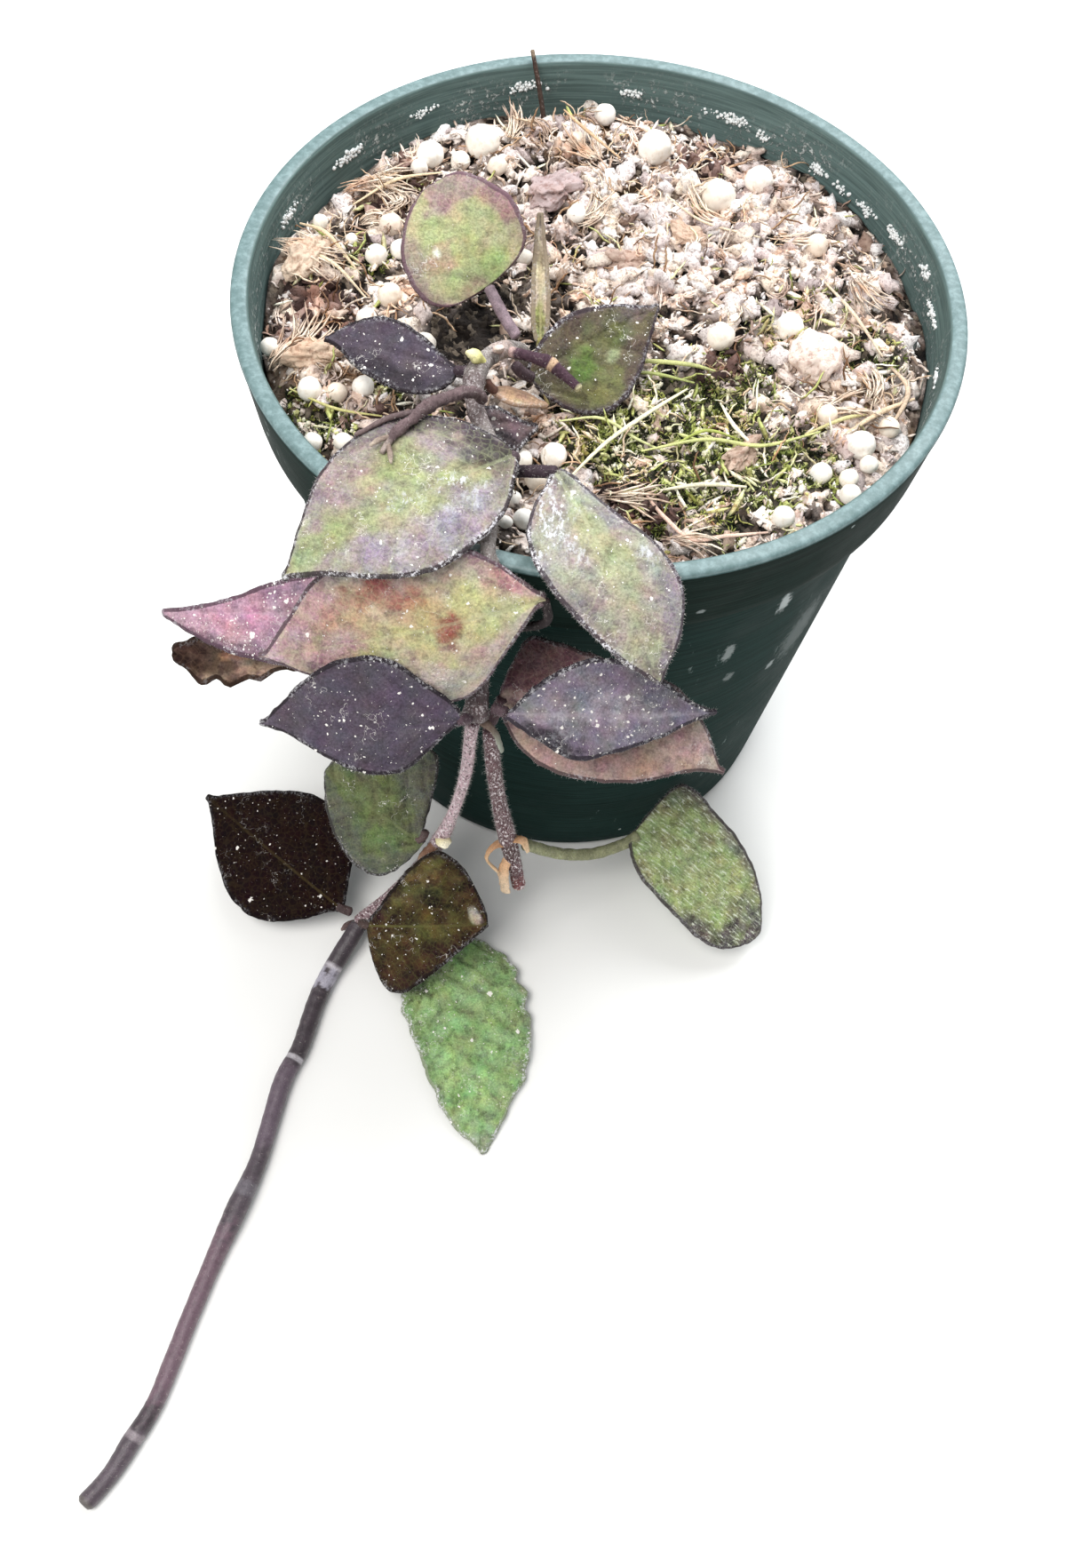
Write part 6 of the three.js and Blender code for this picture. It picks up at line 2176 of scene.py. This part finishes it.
def leaves() -> list[Leaf]:
    """All the leaves of the plant.

    Returns:
        The leaves with their places, forms and colours.
    """
    return [
        Leaf("round_leaf", (-16, -4.5, 104), (-26, 3, 113), (-0.1, -0.62, 0.78), 1, (0.6, 0.6),
             (5.8, 8.2, 9, 8.8, 7.6, 5.2, 2.4), (5.2, 7.8, 8.8, 9, 7.8, 6.4, 4.4),
             ((-11.5, -10.4, 100.2), (-13.8, -7.8, 101.8), (-16, -5, 103.6)),
             LeafPaint("b0a886", "a8b47e", "957a7e", "6a4f5a", "bcc49a", 0.75, 0.7, 0.14, 0.6, 0.2, (0.15, 0.15), (
                 Patch(0.88, 0.4, 0.2, 0.8, "a08288"), Patch(0.5, 0.95, 0.3, 0.25, "94727c"),
                 Patch(0.42, -0.4, 0.14, 0.35, "b59284", 0.7), Patch(0.06, 0.1, 0.1, 0.6, "8d766c", 0.6),
                 Patch(0.15, 0.4, 0.2, 0.4, "9cb56c", 0.5), Patch(0.45, -0.97, 0.6, 0.16, "8f7c78", 0.6),
                 Patch(0.5, -0.42, 0.05, 0.07, "f6f2e4", 1.0, 0.1), Patch(0.5, -0.85, 0.25, 0.2, "8f7c78", 0.5))),
             LeafSkin(specks=0.12, bloom=0.1, mottle=0.35), "8a7880", pucker=0.12, hairs=0.2, rim_hairs=0.6,
             edge_width=0.7),
        Leaf("dark_left_leaf", (-18.8, -20.2, 102), (-38.5, -14.5, 100), (0.05, -0.35, 0.93), 1, (1, 1),
             (2.8, 5, 5.6, 4.8, 3.4, 1.2, 0.4), (0.6, 1.6, 3.2, 4.4, 4.2, 2.6, 0.8),
             ((-17.1, -21.4, 103.4), (-17.9, -20.8, 102.6), (-18.8, -20.2, 102)),
             LeafPaint("4c444f", "544b56", "3d363f", "241d22", "4a424b", 0.5, 0.6, 0.3, 0.5, 0.3, (0.2, 0.3), (
                 Patch(0.4, -0.75, 0.5, 0.45, "29232a", 0.85),)),
             DARK_SKIN, "3d3038", pucker=0.08, edge_width=0.5),
        Leaf("mottled_right_leaf", (-8.5, -17, 99), (8.5, -3.5, 102), (0.1, -0.5, 0.86), 1.5, (1, 1),
             (2, 3.4, 4.6, 4.4, 3.2, 1.4, 0.4), (4.4, 8, 9.8, 8.8, 6, 3, 1),
             ((-10.9, -17.2, 101.2), (-9.9, -17.2, 99.9), (-8.5, -17, 99)),
             LeafPaint("564c3e", "5f6040", "4c3c40", "30242b", "6c6c48", 0.7, 0.65, 0.3, 0.7, 0.2, (0.6, 0.25), (
                 Patch(0.32, 0.25, 0.13, 0.3, "56702f", 0.7), Patch(0.3, 0.75, 0.2, 0.3, "6c7040", 0.7),
                 Patch(0.52, 0.4, 0.07, 0.12, "9aa07c", 0.8, 0.2), Patch(0.62, 0.1, 0.15, 0.3, "5d6232", 0.6),
                 Patch(0.85, -0.2, 0.2, 0.6, "5c5054", 0.7), Patch(0.15, 0.0, 0.15, 0.5, "4a3a38", 0.7))),
             LeafSkin(specks=0.3, mottle=0.7, mottle_grain=2.4), "4a3a40"),
        Leaf("large_rim_leaf", (-9, -41.5, 109.6), (-36.4, -59, 102.6), (-0.15, -0.42, 0.9), 3.4, (-1.5, -1.5),
             (2.6, 6.4, 8.6, 9.2, 6.6, 2.8, 0.8), (4, 8.2, 10.8, 11.4, 9, 4.4, 1),
             ((-9.6, -39.6, 106.3), (-9, -40.4, 108), (-9.2, -41.6, 109.6)),
             LeafPaint("918783", "94996f", "7f757c", "30272c", "adb58c", 0.5, 0.8, 0.2, 0.55, 0.3, (0.85, 0.5), (
                 Patch(0.04, 0.5, 0.17, 0.8, "352c2f", 0.95), Patch(0.2, 0.95, 0.25, 0.3, "483e42", 0.85),
                 Patch(0.05, -0.4, 0.09, 0.5, "5f5455", 0.7), Patch(0.42, 0.95, 0.25, 0.2, "5f5557", 0.6),
                 Patch(0.42, 0.5, 0.16, 0.3, "8e9268", 0.7), Patch(0.64, 0.55, 0.16, 0.4, "927a7c", 0.7),
                 Patch(0.9, 0.0, 0.14, 1.1, "96a07a", 0.8), Patch(0.6, -0.5, 0.24, 0.45, "9d949f", 0.8),
                 Patch(0.3, -0.6, 0.18, 0.45, "958d99", 0.75), Patch(0.75, 0.1, 0.1, 0.4, "8b9266", 0.5)),
                 (Patch(0.3, -0.05, 0.16, 0.12, "", 0.8), Patch(0.44, 0.02, 0.1, 0.1, "", 0.7),
                  Patch(0.24, -0.35, 0.1, 0.25, "", 0.4)), side_veins=0.6),
             LeafSkin(specks=0.3), "5a4a50", pucker=0.16, vein_gap=5.0),
        Leaf("silver_rim_leaf", (-3.5, -42, 108), (12.5, -65, 96.5), (0.25, -0.5, 0.85), 3, (-1, -1),
             (1.6, 2.6, 4.6, 7.4, 7.8, 5.2, 1.6), (1.6, 6, 8, 7.6, 5.8, 3.6, 1.2),
             ((-10.2, -39.6, 104.4), (-6.2, -41, 106.6), (-3.5, -42, 108)),
             LeafPaint("979289", "999d76", "8a828a", "3a3038", "b4ba98", 0.5, 0.75, 0.2, 0.5, 0.35, (0.35, 1.0), (
                 Patch(0.05, 0.0, 0.08, 0.9, "6e6866", 0.8), Patch(0.4, -0.3, 0.2, 0.3, "8e9470", 0.6),
                 Patch(0.72, 0.3, 0.2, 0.6, "948a80", 0.6), Patch(0.78, -0.7, 0.22, 0.4, "7f7480", 0.8),
                 Patch(0.96, 0.0, 0.1, 1.2, "60545a", 0.85), Patch(0.25, -0.8, 0.2, 0.3, "7a7480", 0.6),
                 Patch(0.6, 0.8, 0.2, 0.3, "7c7074", 0.6)),
                 (Patch(0.2, 0.6, 0.16, 0.5, "", 0.95), Patch(0.34, 0.4, 0.12, 0.3, "", 0.5),
                  Patch(0.5, -0.65, 0.1, 0.25, "", 0.6), Patch(0.13, -0.1, 0.1, 0.3, "", 0.4)), side_veins=0.6),
             LeafSkin(specks=0.32), "3d3038", pucker=0.16, rim_hairs=1.5),
        Leaf("blotched_leaf", (-3, -57, 100.5), (-40.5, -62, 88.5), (0, -0.78, 0.62), 2.9, (-4.5, 0.5),
             (0.8, 4.8, 10.6, 11.6, 7.6, 3.2, 0.8), (2.2, 7.2, 10.8, 11.2, 9.6, 4.4, 0.8),
             ((-8.6, -54.9, 91.2), (-5.6, -56, 92.8), (-2.6, -57.4, 96.6), (-3, -57, 100.4)),
             LeafPaint("b4a296", "afb274", "9c878c", "4f3c46", "c0c298", 0.6, 0.75, 0.15, 0.45, 0.35, (0.4, 0.4), (
                 Patch(0.85, 0.3, 0.24, 1.1, "a98490", 0.85), Patch(0.96, 0.0, 0.07, 1.1, "bba8b0", 0.6),
                 Patch(0.1, 0.75, 0.09, 0.4, "ae7480", 0.7), Patch(0.17, 0.95, 0.1, 0.2, "6f5058", 0.7),
                 Patch(0.5, 0.55, 0.14, 0.24, "8c4a42", 0.9, 0.9), Patch(0.32, -0.05, 0.08, 0.2, "823e3a", 0.95, 0.9),
                 Patch(0.42, -0.75, 0.2, 0.35, "b0a4a0", 0.75), Patch(0.0, 0.05, 0.04, 1.2, "6a5458", 0.8),
                 Patch(0.62, 0.35, 0.16, 0.4, "b08c7c", 0.7), Patch(0.4, 0.25, 0.1, 0.3, "b08a72", 0.6),
                 Patch(0.12, 0.0, 0.08, 0.4, "a8a97e", 0.6), Patch(0.72, -0.1, 0.12, 0.4, "ac868a", 0.6))),
             LeafSkin(specks=0.28, mottle=0.55), "241a1c", pucker=0.16, vein_gap=5.0, stalk_radius=0.6),
        Leaf("pink_leaf", (-23, -53, 88.5), (-57, -52, 82), (-0.1, -0.6, 0.8), 1.5, (0.8, 0.8),
             (4, 6.2, 7, 6.8, 5.4, 3.2, 1.2), (3.8, 5.4, 5.4, 4.2, 2, 0.8, 0.4),
             ((-12.9, -55.1, 90.4), (-17.2, -54.6, 88.8), (-23, -53, 88.5)),
             LeafPaint("ac8a98", "b48f9f", "907384", "4f3a46", "c4a6b3", 0.5, 0.6, 0.2, 0.6, 0.4, (0.6, 0.3), (
                 Patch(0.95, 0.0, 0.1, 1.0, "8d7a84", 0.7), Patch(0.5, 0.7, 0.2, 0.3, "90667a", 0.5),
                 Patch(0.42, 0.0, 0.14, 1.2, "85707f", 0.6), Patch(0.66, -0.1, 0.2, 0.6, "b47c92", 0.4),
                 Patch(0.6, -0.9, 0.5, 0.25, "5e4853", 0.7))),
             LeafSkin(specks=0.6), "6b4652", pucker=0.12),
        Leaf("dark_pair_left_leaf", (-13, -67, 85.5), (-40, -68.5, 82), (-0.1, -0.8, 0.6), 3.5, (1, 1),
             (1, 3.4, 6.2, 5.6, 3.2, 1, 0.4), (2.8, 5.8, 9.8, 10.2, 7.6, 3.6, 0.8),
             ((-12.2, -65.2, 83), (-12.6, -66.2, 84.4), (-13.2, -67, 85.5)),
             LeafPaint("4d4651", "534b55", "473e48", "241e24", "5c5062", 0.6, 0.5, 0.3, 0.5, 0.3, (0.4, 0.4), (
                 # painted highlight: the lighter patch on the upper side; painted shade: the darker patch on the lower
                 # side
                 Patch(0.3, 0.4, 0.3, 0.25, "544858", 0.6), Patch(0.25, -0.7, 0.25, 0.4, "453d47", 0.7),
                 Patch(0.9, 0.0, 0.12, 1.0, "544d58", 0.5))),
             DARK_SKIN, "54424a", pucker=0.14),
        Leaf("dark_pair_right_leaf", (-7.4, -63.4, 82.6), (22.5, -55.5, 76), (0.1, -0.65, 0.75), 2.5, (1, 1),
             (0.6, 4.2, 7.4, 7.6, 4.8, 1.8, 0.4), (1.2, 3.4, 6, 5, 3.4, 1.4, 0.4),
             ((-8.8, -62.7, 82.3), (-7, -63.3, 82.6)),
             LeafPaint("756e7a", "8c848e", "5a545f", "28222a", "9c929c", 0.35, 0.8, 0.35, 0.7, 0.35, (0.5, 0.3), (
                 Patch(0.18, 0.8, 0.16, 0.45, "2c272d", 0.9), Patch(0.8, 0.0, 0.2, 0.6, "6e6874", 0.5),
                 # painted highlight: the pale band along the midrib
                 Patch(0.45, 0.03, 0.5, 0.14, "a49ca8", 0.6))),
             LeafSkin(specks=0.5, speck_grain=1.4, bloom=0.2, mottle=0.4, hues=0.35), "4a3a40", pucker=0.14),
        Leaf("maroon_leaf", (-8.5, -57.5, 77), (25, -60.5, 68), (0.1, -0.6, 0.78), 1.5, (-1, -1),
             (9, 10, 10, 10, 9.4, 5.4, 1), (2.2, 5.8, 7.4, 6.8, 4.6, 1.4, 0.4),
             ((-9.3, -59.3, 73.4), (-8.7, -58.5, 75.2), (-8, -57.5, 77)),
             LeafPaint("aa8f89", "b19b88", "9c857f", "4a3a3c", "b8a596", 0.6, 0.5, 0.15, 0.5, 0.3, (0.4, 0.4), (
                 Patch(0.05, -0.6, 0.34, 0.7, "6e4c54", 0.95), Patch(0.6, 0.5, 0.3, 0.4, "96786e", 0.6),
                 Patch(0.93, 0.3, 0.1, 0.8, "a3958e", 0.8))),
             LeafSkin(specks=0.2, mottle=0.6), "4a3338", pucker=0.12, edge_width=0.7),
        Leaf("green_grey_leaf", (-20.9, -56, 26), (-38.5, -47.5, 33), (-0.2, -0.6, 0.78), 1.5, (-0.8, -0.8),
             (6.4, 9.8, 10.2, 9.2, 7, 4.2, 1.6), (0.6, 6, 13, 14.6, 11.8, 8.8, 5.4),
             ((-20.7, -54.6, 27.6), (-21, -55.2, 26.9), (-21.8, -55.7, 26.4)),
             LeafPaint("54584a", "5f6a3e", "4a4a47", "322f2e", "8a9468", 0.5, 0.8, 0.3, 0.7, 0.35, (0.3, 0.3), (
                 Patch(0.35, -0.4, 0.22, 0.3, "637a3c", 0.6), Patch(0.3, 0.6, 0.2, 0.3, "67685f", 0.5))),
             LeafSkin(specks=0.2, mottle=0.6, mottle_grain=2.6), "5a4a48", pucker=0.3),
        Leaf("near_black_leaf", (-35.8, -61.4, 7), (-63, -44, 12), (-0.1, -0.4, 0.9), 1.5, (-0.5, -0.5),
             (1.6, 6.4, 10.8, 11.2, 8, 3.6, 0.8), (3.2, 9, 13, 12.8, 9.2, 4.4, 1),
             ((-34, -61.6, 6.3), (-35, -61.5, 6.7), (-36.2, -61.1, 7.1)),
             LeafPaint("150608", "160708", "100608", "120a0c", "4a3f26", 0.3, 0.5, 0.2, 0.5, 0.5, (0.15, 0.15),
                       side_veins=0.12),
             LeafSkin(specks=0.26, speck_grain=1.8, bloom=0.0, shine=0.06, scratches=0.2, hues=0.8), "4a3a3a",
             pucker=0.2, vein_gap=5.5),
        Leaf("folded_mottled_leaf", (-30, -65.5, 10), (-8.5, -65.5, 16), (0.05, -0.6, 0.8), 1, (5, 2),
             (1.4, 4, 7.8, 11.8, 14.2, 11.6, 4.6), (6.8, 11.2, 11.6, 9, 5.8, 3, 1),
             ((-31.4, -64.1, 7.4), (-30.8, -64.8, 8.8), (-29.8, -65.5, 10.1)),
             LeafPaint("33211b", "483c20", "241715", "1c1412", "6a6a3c", 0.8, 0.6, 0.2, 0.6, 0.5, (0.2, 0.2), (
                 Patch(0.92, -0.2, 0.06, 0.2, "b9b4a6", 0.7), Patch(0.5, -0.7, 0.3, 0.3, "625a36", 0.7),
                 Patch(0.6, -0.4, 0.1, 0.16, "170f0d", 0.8), Patch(0.3, 0.5, 0.2, 0.3, "3d2c1a", 0.6),
                 Patch(0.6, 0.1, 0.2, 0.3, "57522c", 0.6), Patch(0.25, -0.2, 0.1, 0.3, "241613", 0.7))),
             LeafSkin(specks=0.3, bloom=0.0, mottle=1.0, mottle_grain=2.6, shine=0.1, hues=0.6), "4a3a36",
             pucker=0.24),
        Leaf("green_puckered_leaf", (-20, -64.5, 2.2), (-5, -101.5, 0.6), (0.03, -0.05, 0.99), 1, (-0.6, -0.6),
             (8.6, 13, 14.8, 14.2, 11.4, 5.8, 1.8), (2.2, 5.4, 7, 6.2, 5.4, 3.8, 1),
             ((-29.4, -63.2, 3.4), (-25, -63.6, 2.2), (-19.8, -65, 2.2)),
             LeafPaint("86a26c", "94b276", "6c7a56", "8c967c", "a8c48c", 0.7, 0.6, 0.2, 0.6, 0.3, (0.8, 0.8), (
                 Patch(0.24, 0.5, 0.05, 0.3, "3c3a2c", 0.85, 0.9), Patch(0.55, -0.2, 0.2, 0.3, "83a26c", 0.5),
                 Patch(0.95, 0.0, 0.1, 1.2, "8a9a7e", 0.7), Patch(0.2, -0.7, 0.15, 0.3, "708258", 0.5),
                 Patch(0.5, 0.9, 0.4, 0.2, "66804f", 0.6))),
             LeafSkin(specks=0.35, mottle=0.6, mottle_grain=1.5, hues=0.4, bloom=0.22), "5a6a48",
             pucker=0.75, vein_gap=5.2, rim_hairs=2.4, ruffle=0.12, edge_width=0.5),
        Leaf("green_woolly_leaf", (16, -46, 19), (41, -57, 5), (0.2, -0.45, 0.87), 1.5, (-0.8, -0.8),
             (11, 13, 12.2, 11.2, 9, 5.8, 2.2), (2.8, 5.2, 6.4, 7.2, 7.6, 6.6, 3.2),
             ((-3.2, -54.6, 26.6), (2.9, -52.5, 20.4), (9, -50, 16.8), (14.2, -47.6, 17), (16.6, -46.6, 18.8)),
             LeafPaint("94a06c", "9daa72", "74726a", "403a3c", "b2c094", 0.7, 0.5, 0.22, 0.7, 0.15, (0.2, 0.2), (
                 Patch(0.94, 0.1, 0.2, 1.2, "544a50", 0.95), Patch(0.1, -0.85, 0.15, 0.35, "5a5450", 0.7),
                 Patch(0.7, 0.85, 0.3, 0.25, "504a4a", 0.8), Patch(0.55, -0.9, 0.3, 0.2, "6f6c66", 0.6))),
             LeafSkin(specks=0.1, mottle=0.6, streaks=0.75, roughness=0.7, hues=0.35), "8b8d6c", pucker=0.22,
             hairs=2.2, rim_hairs=1.3, stalk_radius=1.05),
        Leaf("small_maroon_leaf", (-15.5, -27.4, 100.6), (-7, -26, 98.5), (0.15, -0.6, 0.78), 0.3, (0.4, 0.4),
             (1.6, 1.8, 2, 1.4, 0.8, 0.5, 0.4), (0.8, 1.4, 2.2, 3.2, 3.6, 2, 0.6),
             ((-16.1, -26.9, 101.7), (-15.9, -27.3, 101.1), (-15.2, -27.4, 100.6)),
             LeafPaint("6a5c5f", "725f60", "52474d", "241c20", "806f70", 0.5, 0.5, 0.3, 0.5, 0.2, (0.3, 1.0), (
                 Patch(0.5, 0.8, 0.5, 0.4, "2e2629", 0.9),)),
             LeafSkin(specks=0.4, speck_grain=1.1), "4a3a40", pucker=0.05, stalk_radius=0.64, edge_width=0.5,
             rows=40, columns=20),
        Leaf("dry_bract", (-13.4, -22.8, 101.6), (-6, -20.8, 97.6), (0.1, -0.4, 0.9), 0.4, (0.3, 0.3),
             (0.6, 0.8, 0.9, 0.8, 0.6, 0.4, 0.3), (0.7, 1.2, 1.5, 1.4, 1, 0.6, 0.3),
             ((-14.4, -22.6, 103.0), (-13.9, -22.8, 102.2), (-13.2, -22.8, 101.6)),
             LeafPaint("c0a08a", "b49480", "c8aa92", "a08470", "a88c76", 0.5, 0.4, 0.3, 0.5, 0.2, (0.0, 0.3), (
                 # painted shade: the dark patch along the left margin
                 Patch(0.5, 0.9, 0.9, 0.4, "dcbca2", 0.6), Patch(0.35, -0.95, 0.5, 0.35, "54423a", 0.8))),
             LeafSkin(specks=0.05, mottle=0.3, bloom=0.0, roughness=0.95, shine=0.0, scratches=0.0), "6a4a40",
             pucker=0.04, edge_width=0.3, rows=36, columns=16, **BARE),
        Leaf("dry_upright_leaf", (-8.0, -9.0, 98.4), (-9.8, 5.2, 109), (0.1, -0.85, 0.5), -0.6, (0.8, 0.8),
             (0.9, 1.2, 1.2, 1.1, 0.9, 0.6, 0.4), (0.9, 1.2, 1.3, 1.2, 0.9, 0.6, 0.4),
             ((-7.8, -10.0, 93.4), (-7.8, -9.8, 96), (-8.0, -8.8, 98.6)),
             LeafPaint("c6baa2", "beb49a", "b4a890", "8c7e6c", "a49878", 0.6, 0.5, 0.3, 0.5, 0.4, (0.2, 0.2), (
                 Patch(0.1, 0.0, 0.2, 2.0, "96985a", 0.9), Patch(0.68, 0.0, 0.12, 2.0, "85796c", 0.8),
                 Patch(0.97, 0.0, 0.1, 2.0, "4a403a", 0.9))),
             DRY_LEAF_SKIN, "8a8450", pucker=0.06, edge_width=0.4, rows=48, columns=16, **BARE),
        Leaf("dry_leaf", (-20, -54.6, 84.6), (-55.5, -56, 77), (-0.1, -0.7, 0.7), 0.6, (1.6, 1.6),
             (1.2, 2, 2.4, 2.8, 3.4, 3.4, 1.6), (1.2, 2, 2.4, 2.8, 3, 2.8, 2),
             ((-12.8, -57, 87.6), (-16.6, -56, 85.4), (-20.4, -54.8, 84.6)),
             LeafPaint("4a3a33", "54433a", "33261f", "2a1c16", "6a5648", 0.5, 0.5, 0.3, 0.6, 0.2, (0.1, 0.1), (
                 Patch(0.62, -0.2, 0.16, 0.8, "85766c", 0.8), Patch(0.97, 0.0, 0.14, 1.2, "2c1d17", 0.9),
                 Patch(0.72, 0.1, 0.07, 0.45, "c99a78", 0.85), Patch(0.55, -0.8, 0.3, 0.4, "ae9280", 0.7))),
             DRY_LEAF_SKIN, "4a372b", pucker=0.3, edge_width=0.5, ruffle=0.5, rows=60, columns=20, **BARE),
    ]


def hair() -> Form:
    """Shape one short hair: a slim closed cone, 1 mm tall, that stands up and leans a little.

    Returns:
        Its form, with its foot at the origin.
    """
    width, sunk, lean = 0.035, 0.1, 0.12
    turn = [2 * math.pi * k / 3 for k in range(3)]
    foot = [(width * math.cos(a), width * math.sin(a), -sunk) for a in turn]
    return Form(np.array([*foot, (lean, 0.0, 1.0)]), [(0, 1, 3), (1, 2, 3), (2, 0, 3), (2, 1, 0)], [0] * 4)


def grow_hairs(name: str, bearers: Sequence[Piece], longest: float, slot: str, seed: int) -> None:
    """Grow short pale hairs on leaves or stems, where their skin says so.

    Args:
        name: the new piece's name.
        bearers: the objects that the hairs grow on.
        longest: the longest hair in mm.
        slot: not used; it is only passed on to seat.
        seed: picks their places.
    """
    surface = bpy.data.objects.new(f"{name}_skin", joined_mesh([obj.data for obj in bearers]))
    Scatter(name, [hair()], 1.6, 0.35 * longest, longest, "hairs", HairSkin().material(f"{name} fur"),
            0.7, seed).over(surface, slot)
    bpy.data.objects.remove(surface)


def joined_mesh(meshes: Sequence[bpy.types.Mesh]) -> bpy.types.Mesh:
    """Copy several meshes into one.

    Args:
        meshes: the meshes, which are left as they are.

    Returns:
        One mesh with all their faces and their hair values.
    """
    merged = bmesh.new()
    merged.verts.layers.float.new("hairs")
    for mesh in meshes:
        merged.from_mesh(mesh)
    result = bpy.data.meshes.new("skins")
    merged.to_mesh(result)
    merged.free()
    return result


def main() -> None:
    """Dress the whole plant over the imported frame."""
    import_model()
    Studio().build()
    pot = Pot()
    pot.build()
    pot.crust()
    Mix(pot, WAVES, HEAPS, PERLITE, CHUNKS, SPOTS, THREADS, WADS).build()
    stem_pieces = [stem.build() for stem in stems()]
    leaf_pieces = [leaf.build() for leaf in leaves()]
    grow_hairs("stem_hairs", stem_pieces, 0.75, "hanging_stem", 12)
    grow_hairs("leaf_hairs", leaf_pieces, 0.55, "large_rim_leaf", 13)
    log.info("the plant is dressed")


if __name__ == "__main__":
    logging.basicConfig(level=logging.INFO, format="%(message)s")
    main()
